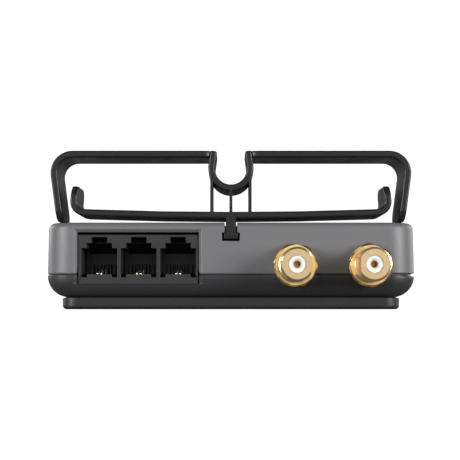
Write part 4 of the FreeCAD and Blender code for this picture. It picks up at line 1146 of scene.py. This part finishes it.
@dataclass
class LowerTray(Housing):
    """Lower shell, with its tongue, its screw bosses and the studs that hook into the wall plate."""

    bottom: float = 3.4
    bottom_round: float = 6.0
    floor: float = 1.5
    stud_spots: Spots = STUD_SPOTS

    def tongue(self) -> Piece:
        """Makes the tongue inside the seam, along the long sides.

        Returns:
            The tongue.
        """
        ring = self.shape("tongue", 1.85, self.seam - 1.5, self.seam - 0.05)
        weld(ring, self.shape("tongue_top", 2.15, self.seam - 1.0, self.seam + 1.2))
        cut(ring, self.shape("tongue_hollow", 2.95, self.seam - 3, self.seam + 3))
        ends = [add_block("end_gap", (-47.8, y - 5, 6.0), (47.8, y + 5, 13.0)) for y in (-64.0, 64.0)]
        return cut(ring, *ends)

    def build(self) -> None:
        """Builds the tray and dresses it."""
        tray = self.shape("lower_tray", 0.0, self.bottom, self.seam, bottom=self.bottom_round)
        cut(tray, self.shape("hollow", self.wall, self.bottom + self.floor, self.seam + 1,
                             bottom=self.bottom_round - self.floor))
        weld(tray, self.tongue())
        weld(tray, *[add_rod("boss", (x, y, 3.6), 4.2, 2.2, Axis.Z, 40) for x, y in self.screw_spots])
        weld(tray, *[add_rod("stud_neck", (x, y, 1.5), 2.0, 2.4, Axis.Z, 32) for x, y in self.stud_spots])
        weld(tray, *[add_rod("stud_head", (x, y, 1.1), 3.6, 1.0, Axis.Z, 48) for x, y in self.stud_spots])
        cut(tray, *[add_rod("screw_pass", (x, y, 2.4), 1.7, 4.4, Axis.Z, 24) for x, y in self.screw_spots])
        cut(tray, *[add_rod("head_recess", (x, y, 2.4), 3.0, 2.2, Axis.Z, 40) for x, y in self.screw_spots])
        cut(tray, *[add_rod("flange_relief", (x, -63.0, self.coax_z), 5.3, 3.0) for x in self.coax_spots])
        cut(tray, *self.openings())
        cut(tray, self.pry_notch())
        tidy_mesh(tray)
        self.bevel_seam(tray)
        self.bevel_recess(tray)
        soften(tray, self.edge_round)
        dress(tray, CHARCOAL_PLASTIC, "housing", "lower_shell")


@dataclass
class WallPlate:
    """Plate that is screwed to the wall, with four keyholes for the tray's studs."""

    half_width: float = 47.8
    half_depth: float = 60.6
    top: float = 3.25
    plan: float = 4.5
    bottom_round: float = 1.1
    travel: float = 12.0
    stud_spots: Spots = STUD_SPOTS
    screw_spots: Spots = ((-20.0, -35.0), (-20.0, 35.0), (20.0, -35.0), (20.0, 35.0))
    rim_top: float = 3.33
    rim_inset: float = 0.8

    def slots(self, name: str, radius: float, low: float, high: float) -> list[Piece]:
        """Cutters with round ends, along the studs' travel.

        Args:
            name: The cutters' name.
            radius: Half of their width.
            low: Their lowest height.
            high: Their highest height.

        Returns:
            One cutter for each stud.
        """
        return [rounded_block(name, (x - radius, y - radius, low),
                              (x + radius, y + self.travel + radius, high), radius * 0.985)
                for x, y in self.stud_spots]

    def build(self) -> None:
        """Builds the plate and dresses it."""
        across, along = self.half_width, self.half_depth
        plate = rounded_block("wall_bracket_plate", (-across, -along, 0.0), (across, along, self.top),
                              self.plan, bottom=self.bottom_round)
        inset = Vector((self.rim_inset, self.rim_inset, 0.0))
        low, high = Vector((-across, -along, 2.8)), Vector((across, along, self.rim_top))
        rim = rounded_block("rim", low + inset, high - inset, self.plan - self.rim_inset)
        cut(rim, rounded_block("rim_hollow", low + inset * 2.5 - Vector((0, 0, 1)),
                               high - inset * 2.5 + Vector((0, 0, 1)), self.plan - 2.0))
        weld(plate, rim)
        cut(plate, *self.slots("undercut", 4.0, 0.8, 2.4))
        cut(plate, *self.slots("neck", 2.4, 1.2, self.top + 1))
        cut(plate, *[add_rod("entry", (x, y + self.travel, 1.4), 4.0, 3.0, Axis.Z)
                     for x, y in self.stud_spots])
        cut(plate, *[add_rod("screw_hole", (x, y, -1.0), 2.2, 6.0, Axis.Z, 40) for x, y in self.screw_spots])
        cut(plate, *[add_rod("countersink", (x, y, self.top - 1.0), 2.2, 1.1, Axis.Z, 40, tip_radius=4.4)
                     for x, y in self.screw_spots])
        soften(plate, 0.18)
        dress(plate, PLATE_PLASTIC, "wall_bracket", "wall_plate")


@dataclass
class CableGuide:
    """Cable guide: a frame with a clip in its top bar, a bar with two hooks, ribs, a stem and a T-foot."""

    front: float = -65.0
    depth: float = 16.5
    bar: float = 1.95
    arm: float = 1.9
    clip_wall: float = 1.9
    clip_middle: float = 5.35
    top: float = 43.1

    def strip(self, name: str, pairs: Sequence[tuple[float, float]], radii: Sequence[float],
              thickness: float, tip_corner: float = 3.4) -> Piece:
        """Makes one strip of the guide.

        Args:
            name: The strip's name.
            pairs: Its corners, as x and z.
            radii: Radius at each inner corner.
            thickness: Its thickness.
            tip_corner: Radius of the corners of its two ends, or 0.

        Returns:
            The strip.
        """
        corners = [(x, self.front, z) for x, z in pairs]
        return ribbon(name, corners, radii, thickness, self.depth, tip_corner)

    def rib(self, x: float, width: float, low: float, high: float, edge_round: float) -> Piece:
        """Makes one upright rib.

        Args:
            x: Its middle.
            width: Its thickness.
            low: Its lowest height.
            high: Its highest height.
            edge_round: Radius of its edges.

        Returns:
            The rib.
        """
        far = self.front + self.depth
        rib = add_block("rib", (x - width / 2, self.front, low), (x + width / 2, far, high))
        return soften(rib, edge_round)

    def build(self) -> None:
        """Builds the guide and dresses it."""
        middle, top = self.clip_middle, self.top
        hooks = [(-43.35, 33.5), (-43.95, 27.05), (0.0, 25.45), (43.95, 27.05), (43.35, 33.5)]
        guide = self.strip("cable_guide_frame", hooks, (3.0, 1050.0, 3.0), self.arm)
        for side in Side:
            weld(guide, self.strip("side_frame", [(side.value * 47.55, 25.4), (side.value * 49.85, top),
                                                  (side.value * middle, top)], (5.2,), self.bar))
        weld(guide, self.rib(0.0, 0.85, 26.0, 33.75, 0.18))
        weld(guide, self.rib(-5.38, 0.76, 26.0, 37.2, 0.16), self.rib(5.38, 0.76, 26.0, 37.2, 0.16))
        clip = [(-4.9, top), (-middle, 40.0), (-middle, 33.75), (middle, 33.75), (middle, 40.0), (4.9, top)]
        weld(guide, self.strip("clip", clip, (6.0, middle, middle, 6.0), self.clip_wall, tip_corner=0.0))
        weld(guide, self.rib(0.0, 2.9, 20.5, 25.9, 0.25))
        weld(guide, self.rib(0.0, 3.94, 19.5, 21.15, 0.25))
        smooth(guide)
        dress(guide, GUIDE_PLASTIC, "guide", "cable_guide")


@dataclass
class PhoneJacks:
    """Three phone jacks ganged in one block, with two bent contacts in each."""

    low: Point = (-42.4, -64.1, 7.0)
    high: Point = (-9.2, -46.0, 20.75)
    centres: tuple[float, float, float] = (-36.58, -25.64, -14.70)
    back: float = -51.1
    cavity: float = 4.97
    step: float = 3.52
    latch: float = 2.16
    slit_pitch: float = 1.02
    edge_round: float = 0.13

    def at_each(self, name: str, half: float, ys: tuple[float, float], zs: tuple[float, float],
                offsets: Sequence[float] = (0.0,)) -> list[Piece]:
        """Blocks of one size at every jack.

        Args:
            name: The blocks' name.
            half: Half of their width.
            ys: Their y range.
            zs: Their z range.
            offsets: Where they stand beside the jack's middle.

        Returns:
            The blocks.
        """
        spots = [x + offset for x in self.centres for offset in offsets]
        return [add_block(name, (x - half, ys[0], zs[0]), (x + half, ys[1], zs[1])) for x in spots]

    def ramp(self, x: float) -> Piece:
        """Makes the sloping roof at the back of one jack.

        Args:
            x: The jack's middle.

        Returns:
            The roof.
        """
        half = self.step + 0.3
        roof = add_block("ramp", (x - half, -58.0, 15.8), (x + half, self.back + 0.5, 18.8))
        work_on_edges(roof, lambda first, second: level_at(15.8)(first, second)
                      and abs(first.y + 58.0) < NEAR and abs(second.y + 58.0) < NEAR)
        bpy.ops.transform.translate(value=(0.0, 0.0, 2.9 * MM))
        bpy.ops.object.mode_set(mode="OBJECT")
        return roof

    def build(self) -> None:
        """Builds the block and its contacts and dresses them."""
        open_y = (self.low[1] - 1, self.back)
        block = add_block("phone_jack_body", self.low, self.high)
        cut(block, *self.at_each("cavity", self.cavity, open_y, (9.8, 17.0)))
        cut(block, *self.at_each("step", self.step, open_y, (16.5, 18.45)))
        cut(block, *self.at_each("latch", self.latch, open_y, (18.0, 20.1)))
        cut(block, *self.at_each("notch", 0.75, (self.low[1] - 1, self.low[1] + 3), (8.9, 10.1),
                                 offsets=(-self.cavity + 0.755, self.cavity - 0.755)))
        weld(block, *[self.ramp(x) for x in self.centres])
        weld(block, *self.at_each("comb", self.step, (-53.2, self.back + 0.5), (9.5, 12.9)))
        slits = tuple((i - 2.5) * self.slit_pitch for i in range(6))
        cut(block, *self.at_each("slit", 0.3, (-54.0, self.back - 0.02), (9.83, 13.4), offsets=slits))
        pair = (-self.slit_pitch / 2, self.slit_pitch / 2)
        for name, half, ys, zs in (("groove", 0.29, (self.low[1] + 0.2, self.back - 0.05), (9.1, 10.0)),
                                   ("wire_hole", 0.28, (self.back - 0.8, self.back - 0.1), (6.0, 9.6))):
            cut(block, *self.at_each(name, half, ys, zs, offsets=pair))
        soften(block, self.edge_round)
        dress(block, JACK_PLASTIC, "housing", "phone_jack_block")
        wires = []
        for x in self.centres:
            for offset in pair:
                at = x + offset
                wires.append(wire("contact", [(at, -63.5, 9.85), (at, -51.5, 11.7), (at, -51.5, 7.0)], 0.22))
                bpy.ops.mesh.primitive_uv_sphere_add(segments=16, ring_count=10, radius=0.30 * MM,
                                                     location=place((at, -63.62, 9.92)))
                wires.append(smooth(settle()))
        contacts = join(wires)
        contacts.name = "phone_contact_wires"
        # The phone contacts take the paler gold whose colour is a painted highlight.
        dress(contacts, PAINTED_HIGHLIGHT_GOLD, "housing", "phone_contacts")


@dataclass
class CoaxConnector:
    """Panel connector for coax cable: threaded barrel with a key flat, insulator, contact, washer and nut."""

    side: Side
    x: float
    flat: Side
    turn: float
    z: float = 12.2
    tip: float = -77.0
    radius: float = 4.69
    root: float = 4.2
    pitch: float = 0.794
    nut_front: float = -68.2
    washer_front: float = -65.8
    across_flats: float = 11.1

    @property
    def gold(self) -> TurnedGold:
        """Gold plate whose lathe rings lie about this connector's axis."""
        return TurnedGold(f"{self.side.name.lower()}_gold_plate", "gold", GOLD, 0.30, centre=(self.x, self.z))

    @property
    def bright_gold(self) -> TurnedGold:
        """The brighter, deeper gold plate of the nut and the washer."""
        return TurnedGold(f"{self.side.name.lower()}_nut_gold_plate", "gold", NUT_GOLD, 0.17,
                          centre=(self.x, self.z))

    def name(self, part: str) -> str:
        """Name of one part of this connector."""
        return f"{self.side.name.lower()}_coax_{part}"

    def rod(self, name: str, radius: float, start: float, end: float,
            tip_radius: Optional[float] = None) -> Piece:
        """Round bar about this connector's axis."""
        return add_rod(name, (self.x, start, self.z), radius, end - start, sides=96,
                       tip_radius=tip_radius)

    def thread(self) -> Piece:
        """Makes a helical thread, closed at both ends and longer than the barrel needs.

        Returns:
            The thread.
        """
        shape = [(self.root, 0.0), (self.root, 0.1), (self.radius + 0.12, 0.37), (self.radius + 0.12, 0.45),
                 (self.root, 0.70), (self.root, self.pitch)]
        helix = start_line("thread", (shape[0][0], 0.0, 0.0))
        for here, there in zip(shape, shape[1:]):
            draw((there[0] - here[0], there[1] - here[1], 0.0))
        bpy.ops.object.mode_set(mode="OBJECT")
        apply_modifier(helix, "SCREW", axis="Y", screw_offset=self.pitch * MM, iterations=14, steps=64,
                       render_steps=64, use_merge_vertices=True, merge_threshold=0.002 * MM)
        focus(helix)
        bpy.ops.object.mode_set(mode="EDIT")
        bpy.ops.mesh.select_all(action="SELECT")
        bpy.ops.mesh.remove_doubles(threshold=0.003 * MM)
        bpy.ops.mesh.select_all(action="DESELECT")
        bpy.ops.mesh.select_non_manifold()
        bpy.ops.mesh.extrude_region_move(TRANSFORM_OT_translate={"value": (0.0, 0.0, 0.0)})
        bpy.ops.mesh.merge(type="COLLAPSE")
        bpy.ops.mesh.select_all(action="SELECT")
        bpy.ops.mesh.normals_make_consistent(inside=False)
        bpy.ops.object.mode_set(mode="OBJECT")
        helix.location = place((self.x, self.tip - 1.2, self.z))
        return settle()

    def build_barrel(self) -> None:
        """Builds the threaded barrel with its flange and solder block."""
        barrel = self.thread()
        barrel.name = self.name("threaded_barrel")
        trim = self.rod("trim", self.radius - 0.62, self.tip, self.tip + 0.55, tip_radius=self.radius)
        weld(trim, self.rod("trim_length", self.radius, self.tip + 0.5, self.nut_front + 0.2))
        combine(barrel, [trim], "INTERSECT")
        away = sorted((self.x + self.flat.value * 3.7, self.x + self.flat.value * 9.0))
        cut(barrel, add_block("key_flat", (away[0], self.tip - 1, self.z - 9),
                              (away[1], self.nut_front - 0.01, self.z + 9)))
        weld(barrel, self.rod("shank", 4.35, self.nut_front - 0.15, -62.9))
        weld(barrel, self.rod("flange", 5.1, -63.0, -61.5))
        weld(barrel, add_block("solder_block", (self.x - 5.1, -61.6, 7.0), (self.x + 5.1, -52.0, 17.3)))
        cut(barrel, self.rod("bore", 2.4, self.tip - 1, -51.0))
        tidy_mesh(barrel)
        smooth(barrel, 28.0)
        dress(barrel, self.gold, "housing", self.name("barrel"))

    def build_middle(self) -> None:
        """Builds the insulator with its dished face and the tubular contact in it."""
        front = self.tip + 0.35
        insulator = turned(self.name("dished_insulator"), (self.x, self.z),
                           [(1.15, front + 0.75), (1.25, front + 0.62), (1.8, front + 0.04), (1.9, front),
                            (2.27, front), (2.35, front + 0.08), (2.35, -52.0), (1.15, -52.0)])
        dress(smooth(insulator), WHITE_INSULATOR, "housing", self.name("insulator"))
        start = front + 0.7
        contact = turned(self.name("contact_tube"), (self.x, self.z),
                         [(0.72, start + 0.2), (0.86, start), (1.02, start), (1.1, start + 0.08),
                          (1.1, -50.4), (0.0, -50.4), (0.0, start + 8.0), (0.72, start + 8.0)], 40)
        weld(contact, add_block("tail", (self.x - 0.4, -51.2, 7.0), (self.x + 0.4, -50.45, self.z - 0.3)))
        dress(smooth(contact), self.gold, "housing", self.name("contact"))

    def build_hardware(self) -> None:
        """Builds the washer and the nut."""
        front = self.washer_front
        washer = turned(self.name("plain_washer"), (self.x, self.z),
                        [(4.55, front + 0.1), (4.65, front), (5.78, front), (5.9, front + 0.14), (5.9, -65.1),
                         (5.8, -65.0), (4.55, -65.0)], 96)
        dress(smooth(washer), self.bright_gold, "housing", self.name("washer"))
        bpy.ops.object.select_all(action="DESELECT")
        radius = self.across_flats / 2 / math.cos(math.pi / 6)
        depth = self.washer_front - self.nut_front
        bpy.ops.mesh.primitive_cylinder_add(vertices=6, radius=radius * MM, depth=depth * MM,
                                            location=place((self.x, self.nut_front + depth / 2, self.z)),
                                            rotation=(math.pi / 2, math.radians(30 - self.turn), 0.0))
        nut = settle()
        nut.name = self.name("hex_nut")
        combine(nut, [self.rod("nut_chamfer", 5.5, self.nut_front - 0.01, self.washer_front + 0.01,
                               tip_radius=5.5 + 1.3 * depth)], "INTERSECT")
        combine(nut, [self.rod("nut_corners", 6.1, self.nut_front - 1, self.washer_front + 1)], "INTERSECT")
        cut(nut, self.rod("nut_bore", 4.72, self.nut_front - 1, self.nut_front + 0.35, tip_radius=4.5))
        cut(nut, self.rod("nut_bore", 4.5, self.nut_front - 1, self.washer_front + 1))
        tidy_mesh(nut)
        smooth(nut, 24.0)
        dress(nut, self.bright_gold, "housing", self.name("nut"))

    def build(self) -> None:
        """Builds every part of the connector."""
        self.build_barrel()
        self.build_middle()
        self.build_hardware()


@dataclass
class NetworkJacks:
    """Two network jacks in one block under a thin shield, with eight contacts in each."""

    low: Point = (-36.4, 48.5, 7.0)
    high: Point = (-7.6, 64.3, 20.4)
    centres: tuple[float, float] = (-29.1, -14.9)
    shield: float = 0.3
    depth: float = 12.5
    pitch: float = 1.02

    def build(self) -> None:
        """Builds the block, its shield and its contacts."""
        block = add_block("network_jack_body", self.low, self.high)
        ys = (self.high[1] - self.depth, self.high[1] + 1)
        for name, half, low, high in (("cavity", 5.9, 9.4, 16.2), ("latch", 3.0, 15.6, 18.6)):
            cut(block, *[add_block(name, (x - half, ys[0], low), (x + half, ys[1], high))
                         for x in self.centres])
        soften(block, 0.15)
        dress(block, JACK_PLASTIC, "housing", "network_jack_block")
        t = self.shield
        can = add_block("network_jack_can", (self.low[0] - t, self.low[1] - t, self.low[2]),
                        (self.high[0] + t, self.high[1], self.high[2] + t))
        cut(can, add_block("can_hollow", (self.low[0], self.low[1], self.low[2] - 1),
                           (self.high[0], self.high[1] + 1, self.high[2])))
        soften(can, 0.08)
        dress(can, TIN_STEEL, "housing", "network_jack_shield")
        wires = []
        for x in self.centres:
            for i in range(8):
                at = x + (i - 3.5) * self.pitch
                wires.append(wire("contact", [(at, 62.8, 9.7), (at, 52.1, 11.4)], 0.2))
        contacts = join(wires)
        contacts.name = "network_contact_wires"
        dress(contacts, CONTACT_GOLD, "housing", "network_contacts")


@dataclass
class FibreAdapter:
    """Adapter for the fibre plug, with a key slot over its mouth and a ceramic sleeve inside, drawn without
    its split.
    """

    x: float = 4.0
    z: float = 13.25
    front: float = 65.8
    back: float = 42.0
    mouth_back: float = 53.8

    def block(self, name: str, half: float, ys: tuple[float, float], zs: tuple[float, float]) -> Piece:
        """Block of a half width about the adapter's middle."""
        return add_block(name, (self.x - half, ys[0], zs[0]), (self.x + half, ys[1], zs[1]))

    def build(self) -> None:
        """Builds the adapter and its sleeve."""
        body = self.block("fibre_adapter_body", 6.4, (self.back, self.front), (8.6, 17.9))
        weld(body, self.block("feet", 5.0, (self.back + 1, self.back + 16), (7.0, 9.0)))
        cut(body, self.block("mouth", 4.55, (self.mouth_back, self.front + 1), (9.5, 17.0)))
        cut(body, self.block("key", 1.2, (self.front - 7, self.front + 1), (16.5, 19.0)))
        cut(body, add_rod("bore", (self.x, self.back - 1, self.z), 1.65, self.mouth_back - self.back + 2))
        soften(body, 0.2)
        dress(body, GREEN_PLASTIC, "housing", "fibre_adapter")
        sleeve = turned("ceramic_sleeve", (self.x, self.z),
                        [(1.25, 42.7), (1.4, 42.5), (1.6, 42.6), (1.6, 56.15), (1.5, 56.3), (1.35, 56.3),
                         (1.25, 56.15)], 40)
        dress(smooth(sleeve), CERAMIC, "housing", "fibre_sleeve")


@dataclass
class PowerInlet:
    """Round power socket with its centre pin."""

    x: float = 20.0
    z: float = 13.0

    def build(self) -> None:
        """Builds the socket and its pin."""
        body = add_block("power_socket_body", (self.x - 4.6, 50.5, 7.0), (self.x + 4.6, 61.5, 17.6))
        weld(body, add_rod("nose", (self.x, 60.5, self.z), 3.7, 4.3))
        cut(body, add_rod("bore", (self.x, 53.5, self.z), 3.2, 12.0))
        soften(body, 0.15)
        dress(body, JACK_PLASTIC, "housing", "power_jack")
        pin = turned("power_pin", (self.x, self.z),
                     [(0.0, 53.5), (1.05, 53.5), (1.05, 62.7), (0.98, 62.95), (0.8, 63.13), (0.55, 63.2),
                      (0.0, 63.2)], 40)
        dress(smooth(pin), TIN_STEEL, "housing", "power_jack_pin")


@dataclass
class PushKey:
    """Round key that is pressed in along Y, made as one turned piece."""

    title: str
    node: str
    body: str
    centre: tuple[float, float]
    profile: tuple[tuple[float, float], ...]

    def build(self) -> None:
        """Builds the key."""
        key = turned(self.title, self.centre, self.profile)
        dress(smooth(key), BUTTON_PLASTIC, self.body, self.node)


POWER_KEY = PushKey("power_key_cap", "power_button", "power_key", (38.0, 14.0),
                    ((0.0, 53.0), (1.35, 53.0), (1.45, 53.1), (1.45, 61.0), (4.4, 61.0), (4.5, 61.1),
                     (4.5, 62.7), (4.4, 62.8), (3.5, 62.8), (3.5, 66.1), (3.44, 66.4), (3.28, 66.64),
                     (3.04, 66.77), (2.8, 66.8), (2.3, 66.74), (1.2, 66.55), (0.0, 66.5)))
RESET_KEY = PushKey("reset_key_pin", "reset_button", "reset_key", (29.5, 12.0),
                    ((0.0, 55.5), (0.87, 55.5), (0.95, 55.58), (0.95, 60.4), (1.62, 60.4), (1.7, 60.48),
                     (1.7, 61.52), (1.62, 61.6), (0.95, 61.6), (0.95, 63.35), (0.88, 63.5), (0.7, 63.6),
                     (0.0, 63.6)))


class InsideParts:
    """CAD nodes that keep their shape and only get a finish."""

    finishes: dict[str, Finish] = {
        "housing_screws": TIN_STEEL, "main_board": BOARD, "coax_shield_can": TIN_STEEL,
        "optical_module": TIN_STEEL, "power_switch": JACK_PLASTIC, "reset_switch": JACK_PLASTIC,
        "light_pipe": CLEAR, "indicator_lights": LAMP, "heat_sink": PLAIN_ALUMINIUM,
        "supply_capacitors": PLAIN_ALUMINIUM, "power_coil": COPPER, "main_processor": CHIP,
        "memory_chip": CHIP, "line_interface_chips": CHIP, "network_transformers": CHIP}

    def build(self) -> None:
        """Gives each node its finish."""
        for node, finish in self.finishes.items():
            piece = bpy.data.objects[node]
            piece.data.materials.clear()
            piece.data.materials.append(finish.material())
            log.info("%s: finish %s", node, finish.name)


@dataclass
class Studio:
    """Pale floor that sweeps up behind the terminal, soft lights and the camera."""

    distance: float = 0.340
    eye: float = 0.002
    lens: float = 96.0
    shift_x: float = -0.002
    shift_y: float = 0.157
    paper_glow: float = 0.95
    room: float = 0.06
    aim: Point = (0.0, -0.03, 0.015)
    paper_side: float = 6.0
    paper_middle: Point = (0.0, -1.5, 0.0)
    sweep_height: float = 3.0
    sweep_round: float = 0.8
    lights: tuple[tuple[str, Point, tuple[float, float], float], ...] = (
        ("left_softbox", (-0.95, -0.80, 0.15), (0.46, 0.55), 19.5),
        ("right_softbox", (0.95, -0.80, 0.15), (0.46, 0.55), 22.0),
        ("front_fill", (0.0, -1.4, 0.35), (1.6, 0.8), 4.6),
        ("rear_left_softbox", (-0.9, 0.6, 0.3), (0.5, 0.5), 5.0),
        ("rear_right_softbox", (0.9, 0.6, 0.3), (0.5, 0.5), 5.0),
        ("overhead", (0.0, 0.25, 1.2), (1.0, 1.0), 1.2))

    def build_floor(self) -> None:
        """Builds the floor and its sweep."""
        bpy.ops.object.select_all(action="DESELECT")
        bpy.ops.mesh.primitive_plane_add(size=self.paper_side, location=self.paper_middle)
        floor = settle()
        floor.name = "studio_floor"
        far = (self.paper_middle[1] + self.paper_side / 2) / MM - 1
        work_on_edges(floor, lambda first, second: min(first.y, second.y) > far)
        bpy.ops.mesh.extrude_region_move(TRANSFORM_OT_translate={"value": (0.0, 0.0, self.sweep_height)})
        bpy.ops.object.mode_set(mode="OBJECT")
        round_edges(floor, lambda first, second: min(first.y, second.y) > far
                    and max(first.z, second.z) < 1, self.sweep_round / MM, 24)
        smooth(floor, 60.0)
        material = bpy.data.materials.new("studio_paper")
        material.use_nodes = True
        wiring = Wiring(material.node_tree)
        shader = material.node_tree.nodes["Principled BSDF"]
        where = wiring.add("TexCoord").outputs["Object"]
        fibres = wiring.add("TexNoise", {"Vector": where, "Scale": 900.0, "Detail": 3.0})
        tint = wiring.blend(fibres.outputs["Fac"], colour(0.24, 0.24, 0.24), colour(0.26, 0.26, 0.26))
        wiring.tree.links.new(tint, shader.inputs["Base Color"])
        shader.inputs["Roughness"].default_value = 0.9
        shader.inputs["Specular IOR Level"].default_value = 0.1
        shader.inputs["Emission Color"].default_value = colour(1.0, 1.0, 1.0)
        seen = wiring.add("LightPath").outputs["Is Camera Ray"]
        glow = wiring.math("MULTIPLY", seen, self.paper_glow)
        wiring.tree.links.new(glow, shader.inputs["Emission Strength"])
        floor.data.materials.append(material)

    def add_light(self, name: str, spot: Point, size: tuple[float, float], power: float) -> None:
        """Adds a soft rectangular light.

        Args:
            name: The light's name.
            spot: Where it stands, in metres.
            size: Its width and height.
            power: Its power in watts.
        """
        data = bpy.data.lights.new(name, "AREA")
        data.shape = "RECTANGLE"
        data.size, data.size_y = size
        data.energy = power
        light = bpy.data.objects.new(name, data)
        bpy.context.scene.collection.objects.link(light)
        light.location = spot
        light.rotation_euler = (Vector(self.aim) - Vector(spot)).to_track_quat("-Z", "Y").to_euler()

    def build_lights(self) -> None:
        """Builds the soft lights and the even room light."""
        world = bpy.data.worlds.new("studio_room")
        world.use_nodes = True
        wiring = Wiring(world.node_tree)
        background = world.node_tree.nodes["Background"]
        background.inputs["Color"].default_value = colour(1.0, 1.0, 1.0)
        seen = wiring.add("LightPath").outputs["Is Camera Ray"]
        wiring.tree.links.new(wiring.spread(seen, 0.0, 1.0, self.room, 1.0), background.inputs["Strength"])
        bpy.context.scene.world = world
        for name, spot, size, power in self.lights:
            self.add_light(name, spot, size, power)

    def build_camera(self) -> None:
        """Builds the level camera in front of the socket end."""
        data = bpy.data.cameras.new("camera")
        data.lens = self.lens
        data.shift_x = self.shift_x
        data.shift_y = self.shift_y
        data.clip_start = 0.01
        camera = bpy.data.objects.new("camera", data)
        bpy.context.scene.collection.objects.link(camera)
        camera.location = (0.0, -0.065 - self.distance, self.eye)
        camera.rotation_euler = (math.pi / 2, 0.0, 0.0)
        bpy.context.scene.camera = camera

    def build(self) -> None:
        """Builds the studio."""
        bpy.context.scene.view_settings.view_transform = "Standard"
        self.build_floor()
        self.build_lights()
        self.build_camera()


def main() -> None:
    """Builds the terminal and its studio in order."""
    logging.basicConfig(level=logging.INFO, format="%(message)s")
    parts = [UpperCover(), LowerTray(), WallPlate(), CableGuide(), PhoneJacks(),
             CoaxConnector(Side.LEFT, 17.8, Side.RIGHT, -6.0),
             CoaxConnector(Side.RIGHT, 38.5, Side.LEFT, 38.0),
             NetworkJacks(), FibreAdapter(), PowerInlet(), POWER_KEY, RESET_KEY, InsideParts(), Studio()]
    for part in parts:
        log.info("building %s", type(part).__name__)
        part.build()


if __name__ == "__main__":
    main()
